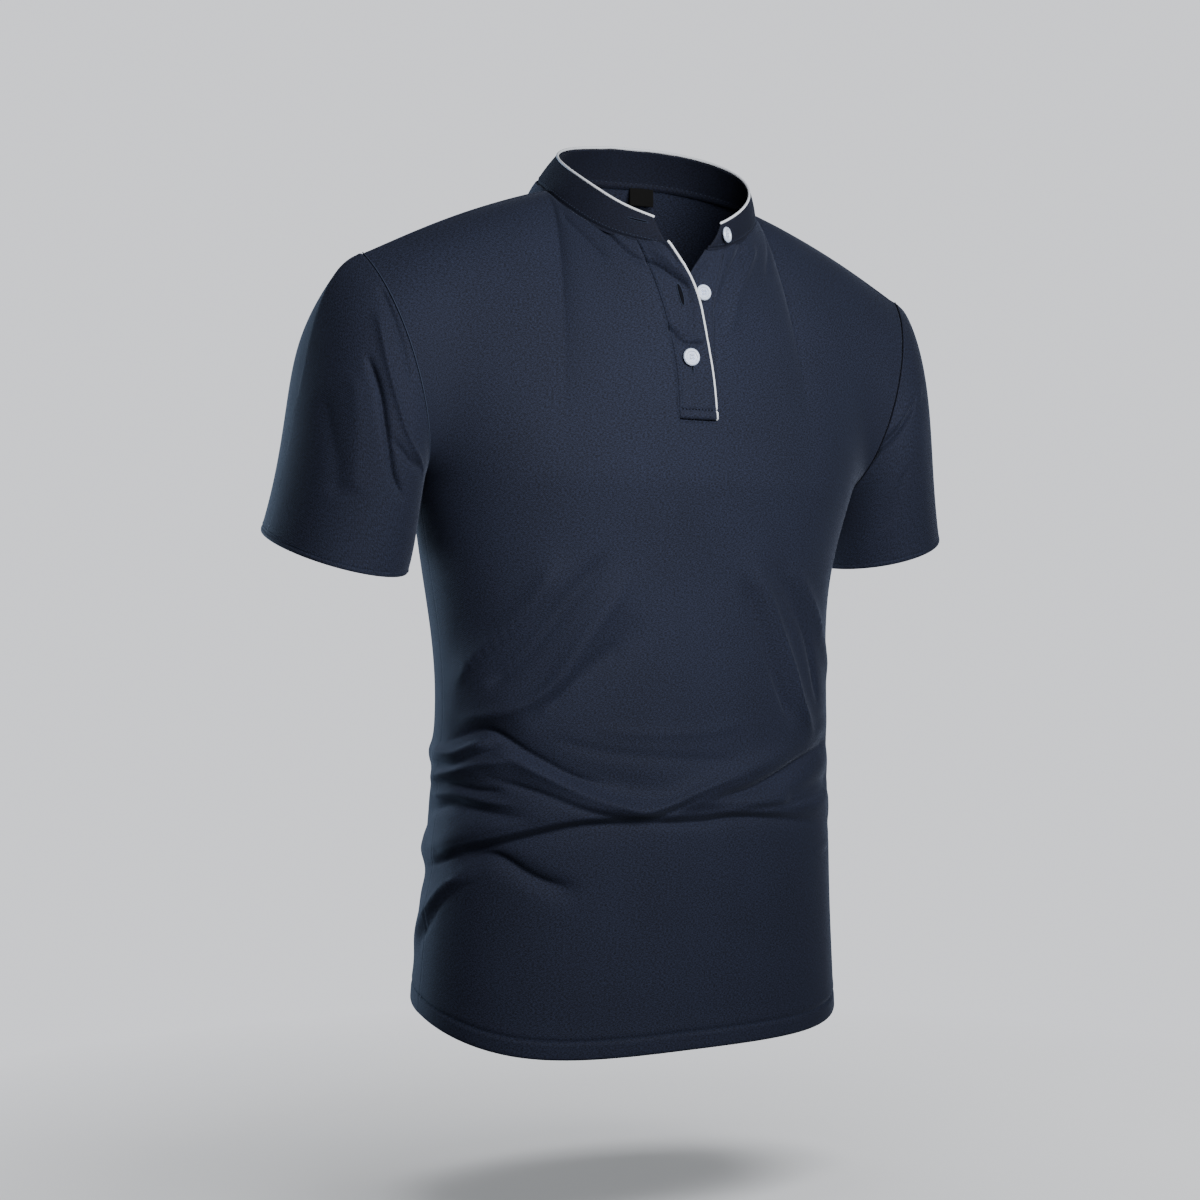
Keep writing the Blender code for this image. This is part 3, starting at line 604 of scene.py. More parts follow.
def rise_at(z: float) -> float:
    """The rise at which the front's middle passes the height z."""
    grid = np.linspace(1, 2, 201)
    return float(np.interp(z, panel_point(0 * grid, grid, False)[:, 2], grid))


def placket_share(name: str, rise: Array) -> Array:
    """A placket edge's share, for each rise; below the placket's foot it runs straight down."""
    z = np.clip([panel_point(0.0, level, False)[2] for level in rise], PLACKET_FOOT_Z, None)
    return share_at(read(PLACKET, name, z), np.maximum(rise, rise_at(PLACKET_FOOT_Z)))


def spans(*parts: tuple[float, float, int]) -> Array:
    """Places along a line: each part is (start, end, cells), and the parts follow each other."""
    pieces = [np.linspace(a, b, n + 1)[:-1] for a, b, n in parts]
    return np.concatenate([*pieces, [parts[-1][1]]])


def wrinkles(seed: int, count: int) -> tuple[Fold, ...]:
    """Small seeded wrinkles of the waist, which follow the larger folds' run.

    Args:
        seed: seed of the random draws.
        count: how many there are.

    Returns:
        Short folds whose paths drift down towards the front's middle.
    """
    draw = np.random.default_rng(seed)
    made = []
    for _ in range(count):
        side = draw.choice([-1, 1])
        angle, z = side * draw.uniform(50, 130), draw.uniform(-500, -380)
        length, height = draw.uniform(20, 40), draw.uniform(0.3, 0.6) * draw.choice([-1, 1])
        tilt = np.sign(angle) * draw.uniform(0.1, 0.9)
        width = draw.uniform(2.6, 5.5)
        bow = draw.uniform(-4, 4)
        path = (
            (angle - length / 2, z - tilt * length / 2),
            (angle, z + bow),
            (angle + length / 2, z + tilt * length / 2),
        )
        made.append(Fold(height, width, width, path, 1.7))
    return tuple(made)


def hem_relief(height: Array, along: Array) -> Array:
    """Relief of the trunk's turned-up hem.

    0.5 S((d - h) / 2 + 1/2) - 0.85 exp(-((h - d) / g)^2) (1 + 0.3 sin(2 pi u / 6))
    + 0.35 exp(-((h - d - 4.5) / 3.2)^2) - 0.5 exp(-(h / 0.9)^2), with h the height, d the stitch
    line's height, g its groove and u the length along: the doubled cloth, the pull of its stitch
    line with a slight pucker, the swell above it and the rolled edge.

    Args:
        height: distance above the edge, in millimetres.
        along: distance along the edge.

    Returns:
        How far the cloth stands out.
    """
    double = 0.5 * smooth((HEM_DEPTH - height) / 2 + 0.5)
    pull = 0.85 * bell(height - HEM_DEPTH, HEM_GROOVE) * (1 + 0.3 * np.sin(2 * math.pi * along / 6.0))
    swell = 0.35 * bell(height - HEM_DEPTH - 4.5, 3.2)
    return double - pull + swell - 0.5 * bell(height, 0.9)


def seam_relief(distance: Array) -> Array:
    """A sewn seam: the edge dips half a millimetre and a soft ridge lies 2.6 mm from it."""
    return -0.5 * bell(distance, 0.9) + 0.35 * bell(distance - 2.6, 1.6)


def neck_pucker(share: Array, rise: Array) -> Array:
    """The neck seam's dip and the ripples below it: sums of sines along it, fading with distance."""
    distance = (2 - rise) * NECK_RUN
    ripple = np.sin(share * 71.0 + 1.0) + 0.6 * np.sin(share * 113.0 + 2.2) + 0.4 * np.sin(share * 39.0)
    return -0.6 * bell(distance, 1.2) + 0.28 * ripple * np.exp(-distance / 9.0)


ALL_FOLDS = MAIN_FOLDS + FINE_FOLDS + wrinkles(WRINKLE_SEED, WRINKLE_COUNT)


def cloth_point(share: Array, rise: Array, behind: bool) -> Array:
    """A point of the panel's outer face with folds, hem and seams."""
    share, rise = np.broadcast_arrays(np.asarray(share, float), np.asarray(rise, float))
    point = panel_point(share, rise, behind)
    angle = wrap(panel_angle(share, behind))
    out = fold_height(ALL_FOLDS, angle, point[..., 2], TRUNK_PER_DEGREE)
    if not behind:
        out = out + fold_height(NECK_FOLDS, angle, point[..., 2], NECK_PER_DEGREE)
    out = out + hem_relief(point[..., 2] - read(HEM, "z", angle), angle * TRUNK_PER_DEGREE)
    depth = np.where(rise < 1, SIDE_SEAM_DEPTH, np.where(share > 0, ARMHOLE_DEPTHS[0], ARMHOLE_DEPTHS[1]))
    out = out + seam_relief((1 - np.abs(share)) * SIDE_RUN) * depth
    past_neck = smooth((np.abs(share) - NECK_SHARE) / 0.02)
    out = out + seam_relief((2 - rise) * SHOULDER_RUN) * past_neck
    out = out + neck_pucker(share, rise) * (1 - past_neck)
    return point + surface_normal(share, rise, behind) * out[..., None]


def grid_mesh(
    name: str, grid: Array, keep: Array | None = None, closed: bool = False, flip: bool = False
) -> Thing:
    """A smooth mesh object on a grid of points, with a UV map in metres of cloth.

    Args:
        name: the object's name.
        grid: rows x columns x 3 points in millimetres.
        keep: flags of the cells between the points that get a face, or None for all.
        closed: joins the last column to the first.
        flip: turns the faces round.

    Returns:
        The object, linked to the scene.
    """
    rows, columns = grid.shape[:2]
    index = np.arange(rows * columns).reshape(rows, columns)
    ahead = np.roll(index, -1, axis=1)
    if not closed:
        index, ahead = index[:, :-1], ahead[:, :-1]
    quads = np.stack([index[:-1], ahead[:-1], ahead[1:], index[1:]], axis=-1)
    quads = quads[keep] if keep is not None else quads.reshape(-1, 4)
    if flip:
        quads = quads[:, ::-1]
    step_u = np.linalg.norm(np.diff(grid, axis=1, append=grid[:, :1]), axis=-1).mean(axis=0)
    step_v = np.linalg.norm(np.diff(grid, axis=0), axis=-1)
    u = np.concatenate([[0], np.cumsum(step_u)[:-1]])
    v = np.concatenate([np.zeros((1, columns)), np.cumsum(step_v, axis=0)])
    uv = np.stack(np.broadcast_arrays(u[None, :], v), axis=-1).reshape(-1, 2) * MM
    used, place = np.unique(quads, return_inverse=True)
    place = place.reshape(quads.shape)
    thing = mesh_object(name, grid.reshape(-1, 3)[used], place)
    layer = thing.data.uv_layers.new(name=CLOTH_UV)
    layer.data.foreach_set("uv", uv[used][place.reshape(-1)].astype(np.float32).ravel())
    return thing


def mesh_object(name: str, points: Array, faces: Array | Sequence[Sequence[int]]) -> Thing:
    """A smooth mesh object from points in millimetres and faces."""
    mesh = bpy.data.meshes.new(name)
    faces = faces.tolist() if isinstance(faces, np.ndarray) else list(faces)
    mesh.from_pydata((np.asarray(points) * MM).tolist(), [], faces)
    mesh.shade_smooth()
    thing = bpy.data.objects.new(name, mesh)
    bpy.context.scene.collection.objects.link(thing)
    return thing


def cloth_sheet(name: str, grid: Array, thick: float, **options: Any) -> Thing:
    """A grid's mesh, given the cloth's thickness inwards."""
    thing = grid_mesh(name, grid, **options)
    solid = thing.modifiers.new("thickness", "SOLIDIFY")
    solid.thickness = thick * MM
    solid.offset = -1.0
    solid.use_rim = True
    return thing


def tube_grid(line: Array, radius: float, sides: int = 8) -> Array:
    """A round cord along a line: p + r (cos(a) n + sin(a) b), closed by rounded ends.

    Args:
        line: points along the middle, in millimetres.
        radius: of the cord.
        sides: points round it.

    Returns:
        Its outer points, ring by ring.
    """
    tangent = unit(np.gradient(line, axis=0))
    across = unit(np.cross(tangent, [0.0, 0.0, 1.0]))
    other = np.cross(tangent, across)
    turn = np.linspace(0, 2 * math.pi, sides, endpoint=False)
    ring = np.cos(turn)[:, None, None] * across + np.sin(turn)[:, None, None] * other
    body = np.swapaxes(line[None] + radius * ring, 0, 1)
    rows = [body]
    for end, sign in ((0, -1), (-1, 1)):
        out = sign * tangent[end] * radius
        rim = line[end] + CAP_SHARE * (body[end] - line[end]) + out * CAP_STEP
        tip = np.repeat((line[end] + out * CAP_SHARE)[None], sides, 0)
        cap = np.stack([rim, tip])
        rows = [cap[::-1], *rows] if sign < 0 else [*rows, cap]
    return np.concatenate(rows)


def tube_mesh(name: str, line: Array, radius: float, sides: int = 8) -> Thing:
    """A round cord's mesh."""
    return grid_mesh(name, tube_grid(line, radius, sides), closed=True, flip=True)


def stitches(name: str, line: Array, normal: Array, stitch: Stitch) -> Thing:
    """A row of thread stitches along a line on the cloth.

    Each stitch is a capsule: half a superellipse along the line, sunk at both ends.

    Args:
        name: the object's name.
        line: points along the seam, in millimetres.
        normal: the cloth's outward normal at each point.
        stitch: the row's pitch, the stitch's length and the thread's radius.

    Returns:
        One object with all the stitches.
    """
    gone = np.concatenate([[0], np.cumsum(np.linalg.norm(np.diff(line, axis=0), axis=1))])
    count = max(1, int(gone[-1] / stitch.pitch))
    middle = (np.arange(count) + 0.5) * stitch.pitch
    rings, sides = len(STITCH_SIZE), 6
    at = middle[:, None] + np.linspace(-0.5, 0.5, rings)[None, :] * stitch.length
    spot = np.stack([np.interp(at, gone, line[:, k]) for k in range(3)], -1)
    out = unit(np.stack([np.interp(at, gone, normal[:, k]) for k in range(3)], -1))
    along = unit(np.gradient(spot, axis=1))
    across = np.cross(along, out)
    turn = np.linspace(0, 2 * math.pi, sides, endpoint=False)
    size = stitch.radius * np.array(STITCH_SIZE)[None, :, None, None]
    spot = spot + out * (stitch.radius * np.array(STITCH_SUNK)[None, :, None])
    ring = np.cos(turn)[:, None] * across[:, :, None] + np.sin(turn)[:, None] * out[:, :, None]
    points = (spot[:, :, None] + size * ring).reshape(-1, 3)
    base = np.arange(count)[:, None] * rings * sides
    row = np.arange(rings - 1)[None, :, None, None] * sides
    side = np.arange(sides)[None, None, :, None]
    after = (side + 1) % sides
    corner = np.concatenate([row + side, row + after, row + sides + after, row + sides + side], -1)
    quads = (base[..., None, None] + corner).reshape(-1, 4)
    first = (base + np.arange(sides)[::-1]).tolist()
    last = (base + (rings - 1) * sides + np.arange(sides)).tolist()
    return mesh_object(name, points, quads.tolist() + first + last)


def dress(piece: Thing, material: Material, node: str | None = None) -> Thing:
    """Gives a piece its material in a slot, hangs it under the root body, and hides the solid that it
    stands for, if it names one.
    """
    piece.data.materials.append(material)
    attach(piece, "root")
    if node:
        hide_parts(node)
    return piece


def sewn_row(name: str, points: Array, normals: Array, stitch: Stitch, thread: Material) -> Thing:
    """A row of stitches, dressed in its thread."""
    return dress(stitches(name, points, normals, stitch), thread)


def away_from_axis(points: Array, centre_y: float) -> Array:
    """The level directions from the neck's upright axis to points."""
    level = points - np.array([0, centre_y, 0])
    level[:, 2] = 0
    return unit(level)


def grid_place(grid: Array, row: float, column: float, out: float = 0.0) -> Spot:
    """A point above a grid of cloth points, and the cloth's normal there."""
    r, c = int(row), int(column)
    fr, fc = row - r, column - c
    corners = grid[r : r + 2, c : c + 2]
    low = corners[0, 0] * (1 - fc) + corners[0, 1] * fc
    high = corners[1, 0] * (1 - fc) + corners[1, 1] * fc
    normal = np.cross(corners[0, 1] - corners[0, 0], high - low)
    normal *= -np.sign(normal[1]) / np.linalg.norm(normal)
    return low + (high - low) * fr + normal * out, normal


def apart(spots: Sequence[Spot]) -> tuple[Array, Array]:
    """Spots as an array of points and one of normals."""
    points, normals = zip(*spots)
    return np.array(points), np.array(normals)


def row_at(grid: Array, column: int, z: float) -> float:
    """The row at which a grid's column passes the height z."""
    return float(np.interp(z, grid[:, column, 2], np.arange(len(grid))))


class Wire:
    """A shader socket that takes part in Python arithmetic, each operator adding a Math node."""

    def __init__(self, build: "Shader", socket: Any) -> None:
        """Wraps an output socket."""
        self.build, self.socket = build, socket

    def _join(self, operation: str, first: Any, second: Any) -> "Wire":
        """A Math node of two values."""
        node = self.build.add("ShaderNodeMath", {"operation": operation}, {0: first, 1: second})
        return Wire(self.build, node.outputs[0])

    def __add__(self, other: Any) -> "Wire":
        """self + other."""
        return self._join("ADD", self, other)

    __radd__ = __add__

    def __sub__(self, other: Any) -> "Wire":
        """self - other."""
        return self._join("SUBTRACT", self, other)

    def __rsub__(self, other: Any) -> "Wire":
        """other - self."""
        return self._join("SUBTRACT", other, self)

    def __mul__(self, other: Any) -> "Wire":
        """self * other."""
        return self._join("MULTIPLY", self, other)

    __rmul__ = __mul__

    def sine(self) -> "Wire":
        """sin(self)."""
        return self._join("SINE", self, 0.0)


class Shader:
    """A material's node tree, built from one method that adds a node."""

    def __init__(self, name: str) -> None:
        """Makes the material with its Principled shader."""
        self.material = bpy.data.materials.new(name)
        self.material.use_nodes = True
        self.tree = self.material.node_tree
        self.surface = self.tree.nodes["Principled BSDF"]

    def add(self, kind: str, settings: dict[str, Any], values: dict[Any, Any]) -> bpy.types.Node:
        """Adds a node.

        Args:
            kind: the node's type.
            settings: its properties, set first; "stops" gives a ramp's (place, colour) pairs.
            values: values, Wires or sockets for its inputs, by name or number.

        Returns:
            The node.
        """
        node = self.tree.nodes.new(kind)
        for key, value in settings.items():
            if key == "stops":
                for element, (place, colour) in zip(node.color_ramp.elements, value):
                    element.position, element.color = place, colour
            else:
                setattr(node, key, value)
        for key, value in values.items():
            self.put(node.inputs[key], value)
        return node

    def put(self, socket: Any, value: Any) -> None:
        """Links a Wire or socket to an input, or sets its value."""
        value = value.socket if isinstance(value, Wire) else value
        if isinstance(value, bpy.types.NodeSocket):
            self.tree.links.new(value, socket)
        else:
            socket.default_value = value

    def set(self, **values: Any) -> None:
        """Sets the Principled shader's inputs, with _ for the spaces of their names."""
        for key, value in values.items():
            self.put(self.surface.inputs[key.replace("_", " ")], value)

    def object_place(self) -> Any:
        """The object's own coordinates."""
        return self.add("ShaderNodeTexCoord", {}, {}).outputs["Object"]

    def noise(self, place: Any, scale: float, detail: float) -> Wire:
        """A noise value at a place."""
        node = self.add("ShaderNodeTexNoise", {}, {"Vector": place, "Scale": scale, "Detail": detail})
        return Wire(self, node.outputs[0])

    def mix(self, share: Any, first: Colour, second: Colour) -> Any:
        """A colour between two, by a share."""
        node = self.add("ShaderNodeMix", {"data_type": "RGBA"}, {0: share, 6: first, 7: second})
        return node.outputs[2]

    def bump(self, height: Wire, distance: float, strength: float) -> None:
        """Feeds the normal from a height."""
        settings = {"Height": height, "Distance": distance, "Strength": strength}
        self.set(Normal=self.add("ShaderNodeBump", {}, settings).outputs[0])


@dataclass(frozen=True)
class KnitFinish:
    """Pique knit: staggered cells on the cloth's own UV map, a soft heather and a slight sheen."""

    name: str = "navy_knit"
    dark: Colour = (0.0047, 0.0062, 0.0134, 1.0)
    light: Colour = (0.0168, 0.0220, 0.0474, 1.0)
    cell: float = 1.25
    yarn: float = 1950.0
    rough: float = 0.82
    sheen: float = 0.1
    sheen_tint: Colour = (0.62, 0.72, 1.0, 1.0)

    def material(self) -> Material:
        """Makes the material."""
        shader = Shader(self.name)
        place = shader.add("ShaderNodeUVMap", {"uv_map": CLOTH_UV}, {}).outputs[0]
        parts = shader.add("ShaderNodeSeparateXYZ", {}, {0: place})
        u, v = Wire(shader, parts.outputs[0]), Wire(shader, parts.outputs[1])
        turn = 2 * math.pi / (self.cell * MM)
        cells = (u * turn).sine() * (v * turn * 0.8).sine()
        wales = (u * turn * 2).sine()
        course = shader.add("ShaderNodeCombineXYZ", {}, {0: u * 0.28, 1: v, 2: 0.0}).outputs[0]
        wale = shader.add("ShaderNodeCombineXYZ", {}, {0: u, 1: v * 0.3, 2: 7.0}).outputs[0]
        heather = shader.noise(course, self.yarn, 1.0) * 0.6 + shader.noise(wale, self.yarn, 1.0) * 0.4
        cloudy = shader.noise(place, 14.0, 3.0)
        tone = heather * 6.8 + cells * 0.16 + cloudy * 0.5 - 3.15
        shader.set(Base_Color=shader.mix(tone, self.dark, self.light), Roughness=self.rough)
        shader.set(Sheen_Weight=self.sheen, Sheen_Roughness=0.38, Sheen_Tint=self.sheen_tint)
        shader.set(Specular_IOR_Level=0.25)
        shader.bump(cells * 0.55 + wales * 0.2 + heather * 0.9, 0.00018, 0.55)
        return shader.material


@dataclass(frozen=True)
class CordFinish:
    """Fine ribbed cloth of the piping, or thread: colours, roughness, flecks and gloss."""

    name: str
    colour: Colour
    shade: Colour
    rough: float = 0.7
    scale: float = 1600.0
    gloss: float = 0.12

    def material(self) -> Material:
        """Makes the material."""
        shader = Shader(self.name)
        fleck = shader.noise(shader.object_place(), self.scale, 2.0)
        shader.set(Base_Color=shader.mix(fleck, self.shade, self.colour))
        shader.set(Roughness=self.rough, Specular_IOR_Level=self.gloss)
        shader.bump(fleck, 0.00015, 0.5)
        return shader.material


@dataclass(frozen=True)
class PearlFinish:
    """The buttons' pearly plastic: faint swirls under a clear gloss."""

    name: str = "pearl_button"
    pale: Colour = (0.88, 0.93, 1.0, 1.0)
    blue: Colour = (0.50, 0.62, 0.92, 1.0)

    def material(self) -> Material:
        """Makes the material."""
        shader = Shader(self.name)
        swirl = shader.noise(shader.object_place(), 260.0, 4.0)
        shader.set(Base_Color=shader.mix(swirl, self.blue, self.pale))
        shader.set(Roughness=swirl * 0.2 + 0.12, Coat_Weight=0.6, Coat_Roughness=0.06)
        shader.bump(swirl, 0.0002, 0.15)
        return shader.material


@dataclass(frozen=True)
class FloorFinish:
    """A matt floor with a little glow of its own, which fades out between two distances."""

    name: str = "pale_floor"
    colour: Colour = (0.61, 0.62, 0.645, 1.0)
    glow_colour: Colour = (0.94, 0.97, 1.0, 1.0)
    glow: float = 0.24
    whole_to: float = 0.85
    gone_from: float = 1.12

    def material(self) -> Material:
        """Makes the material."""
        shader = Shader(self.name)
        away = shader.add("ShaderNodeVectorMath", {"operation": "LENGTH"}, {0: shader.object_place()})
        reach = {"Value": away.outputs["Value"], "From Min": self.gone_from, "From Max": self.whole_to}
        near = shader.add("ShaderNodeMapRange", {}, reach).outputs[0]
        shader.set(Base_Color=self.colour, Roughness=1.0, Specular_IOR_Level=0.0)
        shader.set(Emission_Color=self.glow_colour, Emission_Strength=self.glow)
        clear = shader.add("ShaderNodeBsdfTransparent", {}, {}).outputs[0]
        blend = shader.add("ShaderNodeMixShader", {}, {0: near, 1: clear, 2: shader.surface.outputs[0]})
        shader.put(shader.tree.nodes["Material Output"].inputs["Surface"], blend.outputs[0])
        return shader.material


@dataclass(frozen=True)
class Finishes:
    """The shirt's materials."""

    knit: Material
    # band: the navy knit darkened with painted shade.
    band: Material
    thread: Material
    white: Material
    cotton: Material
    satin: Material
    # dark: near-black painted shade.
    dark: Material
    pale: Material
    pearl: Material

    @classmethod
    def make(cls) -> "Finishes":
        """Makes each material once."""
        # The collar band's knit is the navy knit darkened to little over half: painted shade for the band's
        # outer face, which leans out into shadow.
        shaded_band_dark, shaded_band_light = (0.0030, 0.0040, 0.0096, 1.0), (0.0088, 0.0118, 0.0280, 1.0)
        cords = {
            "thread": ("navy_thread", (0.02, 0.03, 0.06, 1.0), (0.008, 0.012, 0.03, 1.0)),
            "white": ("white_piping", (0.86, 0.88, 0.92, 1.0), (0.62, 0.65, 0.72, 1.0)),
            "cotton": ("white_thread", (0.8, 0.82, 0.86, 1.0), (0.5, 0.52, 0.6, 1.0)),
            "satin": ("label_black", (0.009, 0.009, 0.009, 1.0), (0.004, 0.004, 0.004, 1.0), 1.0),
            # Near-black painted shade: the buttonholes' slits, the shadowed holes of the placket's box
            # stitches and the left armhole seam's groove.
            "dark": ("painted_shade_black", (0.003, 0.004, 0.008, 1.0), (0.002, 0.002, 0.004, 1.0), 0.9),
            "pale": ("buttonhole_thread", (0.045, 0.056, 0.09, 1.0), (0.02, 0.027, 0.05, 1.0), 0.8),
        }
        return cls(
            knit=KnitFinish().material(),
            band=KnitFinish("band_knit_painted_shade", shaded_band_dark, shaded_band_light, sheen=0.03).material(),
            pearl=PearlFinish().material(),
            **{word: CordFinish(*values).material() for word, values in cords.items()},
        )


@dataclass
class Panel:
    """The front or the back: one cut piece from side seam to side seam."""

    behind: bool
    finishes: Finishes
    neck_cells: int = 32
    placket_cells: int = 14
    rows: tuple[tuple[float, float, int], ...] = (
        (0.0, 0.045, 15),
        (0.045, 0.2, 11),
        (0.2, 0.27, 8),
        (0.27, 0.56, 84),
        (0.56, 0.66, 14),
        (0.66, 1.0, 24),
    )
    columns: tuple[tuple[float, float, int], ...] = (
        (NECK_SHARE, 0.8, 40),
        (0.8, 0.985, 15),
        (0.985, 1.0, 6),
    )
    flat: tuple[float, float] = (0.50, 0.72)
    cut_area: float = 0.33

    def places(self) -> tuple[Array, Array, Array | None]:
        """The grid's share and rise, and the cells that are kept."""
        foot = rise_at(PLACKET_FOOT_Z)
        rise = spans(*self.rows, (1.0, foot, 8), (foot, 1.55, 16), (1.55, 1.96, 54), (1.96, 2.0, 8))
        to_side = spans(*self.columns)
        inner = np.linspace(0, 1, self.neck_cells + 1)[:-1]
        if self.behind:
            half = np.concatenate([NECK_SHARE * inner, to_side])
            share = np.concatenate([-half[:0:-1], half])[None, :]
            return np.broadcast_to(share, (len(rise), share.shape[1])), rise, None
        right, left = placket_share("right_seam", rise), placket_share("left_seam", rise)
        far = np.broadcast_to(to_side, (len(rise), len(to_side)))
        from_right = np.concatenate([-right[:, None] + (NECK_SHARE + right[:, None]) * inner, far], 1)
        from_left = np.concatenate([left[:, None] + (NECK_SHARE - left[:, None]) * inner, far], 1)
        middle = np.linspace(0, 1, self.placket_cells + 1)[1:-1]
        between = right[:, None] + (left - right)[:, None] * middle
        share = np.concatenate([-from_right[:, ::-1], between, from_left], axis=1)
        keep = np.ones((len(rise) - 1, share.shape[1] - 1), bool)
        first = from_right.shape[1] - 1
        opening = int(np.argmin(np.abs(rise - foot)))
        keep[opening:, first : first + self.placket_cells] = False
        return share, rise, keep

    def build(self) -> Thing:
        """Builds the panel as one sheet with its folds, hem and seam edges."""
        share, rise, keep = self.places()
        grid = cloth_point(share, np.broadcast_to(rise[:, None], share.shape), self.behind)
        node = "back" if self.behind else "front"
        thing = cloth_sheet(f"{node}_cloth", grid, CLOTH, keep=keep, flip=self.behind)
        return self.dress(thing, node)

    def dress(self, thing: Thing, node: str) -> Thing:
        """Gives the panel its knit and hides the solid that it stands for."""
        dress(thing, self.finishes.knit, node)
        return thing


def armhole(side: int) -> Array:
    """One armhole's edge: a closed loop from the shoulder, down the front and up the back."""
    rise = np.linspace(2, 1, ARMHOLE_CELLS + 1)
    front = panel_edge(1.0 * side, rise, False)
    back = panel_edge(1.0 * side, rise[::-1], True)
    return np.concatenate([front, back[1:-1]]) * np.array([side, 1, 1])


def panel_edge(share: float, rise: Array, behind: bool) -> Array:
    """The panel's edge with its main folds, but without hem and seam relief."""
    share, rise = np.broadcast_arrays(np.asarray(share, float), np.asarray(rise, float))
    point = panel_point(share, rise, behind)
    out = fold_height(MAIN_FOLDS, wrap(panel_angle(share, behind)), point[..., 2], TRUNK_PER_DEGREE)
    return point + surface_normal(share, rise, behind) * out[..., None]


def cuff_ring(turn: Array, cuff: Cuff) -> tuple[Array, Array]:
    """A cuff's edge, mirrored to the wearer's left, and the arm's direction."""
    out, back = math.radians(ARM_OUT), math.radians(ARM_BACK)
    axis = np.array([math.sin(out), math.sin(back), -math.cos(out) * math.cos(back)])
    axis /= np.linalg.norm(axis)
    forward = np.cross(axis, [1.0, 0, 0])
    forward /= -np.linalg.norm(forward) * np.sign(forward[1])
    outward = np.cross(axis, forward)
    outward *= np.sign(outward[0])
    a = np.radians(turn)[:, None]
    ring = cuff.across * np.cos(a) * outward + cuff.deep * np.sin(a) * forward
    ring[:, 2] += cuff.rise_out * ring[:, 0] + cuff.rise_back * ring[:, 1]
    return np.array(cuff[:3]) + ring, axis


@dataclass
class Sleeve:
    """A set-in short sleeve with its turned-up hem."""

    side: Side
    finishes: Finishes
    hem: float = 3.3
    flat: tuple[float, float] = (0.40, 0.22)
    cut_area: float = 0.053

    def surface(self) -> tuple[Array, Array]:
        """Outer points ring by ring from armhole to cuff, and their normals, mirrored to the left.

        Each lengthwise line is a Bezier curve from the armhole to the cuff's ellipse.
        """
        start = armhole(self.side.value)
        turn = np.linspace(0, 360, len(start), endpoint=False)
        end, axis = cuff_ring(turn, CUFFS[self.side])
        out = stack(*[read(SLEEVE_HANDLES, f"out_{k}", turn) for k in "xyz"])
        inset = read(SLEEVE_HANDLES, "cuff_length", turn)[:, None]
        along = spans((0.0, 0.03, 6), (0.03, 0.97, 104), (0.97, 1.0, 14))[:, None]
        grid = bezier(start[None], (start + out)[None], (end - inset * axis)[None], end[None], along)
        normal = unit(np.cross(np.gradient(grid, axis=0), np.roll(grid, -1, 1) - np.roll(grid, 1, 1)))
        centre = grid.mean(axis=1, keepdims=True)
        normal *= np.sign((normal * (grid - centre)).sum(-1, keepdims=True))
        length = np.linalg.norm(np.diff(grid, axis=0), axis=-1)
        gone = np.concatenate([np.zeros((1, len(turn))), np.cumsum(length, axis=0)])
        left = gone[-1] - gone
        spots = np.broadcast_arrays(turn[None, :], SLEEVE_RUN * along)
        folds = fold_height(SLEEVE_FOLDS + FINE_SLEEVE_FOLDS[self.side], *spots, 1.0)
        edge = 0.25 * smooth((self.hem - left) / 0.8 + 0.5) - 0.35 * bell(left - self.hem, 0.6)
        moved = folds + edge - 0.4 * bell(left, 0.7) + seam_relief(gone)
        return grid + normal * moved[..., None], normal

    def build(self) -> list[Thing]:
        """Builds the sleeve and its stitch line."""
        grid, normal = self.surface()
        mirror = np.array([self.side.value, 1, 1])
        node = f"sleeve_{self.side.name.lower()}"
        flip = self.side is Side.RIGHT
        thing = cloth_sheet(f"{node}_cloth", grid * mirror, CLOTH, closed=True, flip=flip)
        left = np.linalg.norm(np.diff(grid, axis=0), axis=-1)[::-1].cumsum(axis=0).mean(axis=1)
        row = len(grid) - 2 - int(np.searchsorted(left, self.hem))
        ring, out = (np.concatenate([part[row], part[row, :1]]) * mirror for part in (grid, normal))
        sewn = sewn_row(f"{node}_hem_stitches", ring, out, CUFF_STITCH, self.finishes.thread)
        return self.dress(thing, sewn, node)

    def dress(self, thing: Thing, sewn: Thing, node: str) -> list[Thing]:
        """Gives the sleeve its knit."""
        dress(thing, self.finishes.knit, node)
        return [thing, sewn]


@dataclass
class Buttonhole:
    """A worked buttonhole: a near-black slit of painted shade between two rows of close stitches."""

    name: str
    line: tuple[Array, Array]
    finishes: Finishes
    gap: float = 0.55
    bead: float = 0.75

    def build(self) -> list[Thing]:
        """Builds the slit as a thin lens in painted shade and the bead as a closed row of stitches round
        it.
        """
        points, normals = self.line
        along = unit(np.gradient(points, axis=0))
        across = np.cross(normals, along)
        share = np.linspace(0, 1, len(points))[:, None]
        half = self.gap * np.sqrt(np.clip(1 - (2 * share - 1) ** 2, 0.0, 1))
        slit = np.stack([points - across * half, points, points + across * half], axis=1)
        slit = slit + normals[:, None] * np.array([0.10, 0.06, 0.10])[None, :, None]
        # The slit's sheet, in near-black, is painted shade where the cut opening lies in shadow.
        opening = cloth_sheet(f"{self.name}_slit", slit, 0.05)
        reach = across * (half + self.bead * 0.55)
        loop = np.concatenate([points + reach, (points - reach)[::-1], (points + reach)[:1]])
        facing = np.concatenate([normals, normals[::-1], normals[:1]])
        close = Stitch(BEAD_PITCH, BEAD_LENGTH, self.bead * 0.5)
        bead = sewn_row(f"{self.name}_bead", loop + facing * 0.12, facing, close, self.finishes.pale)
        return [dress(opening, self.finishes.dark), bead]


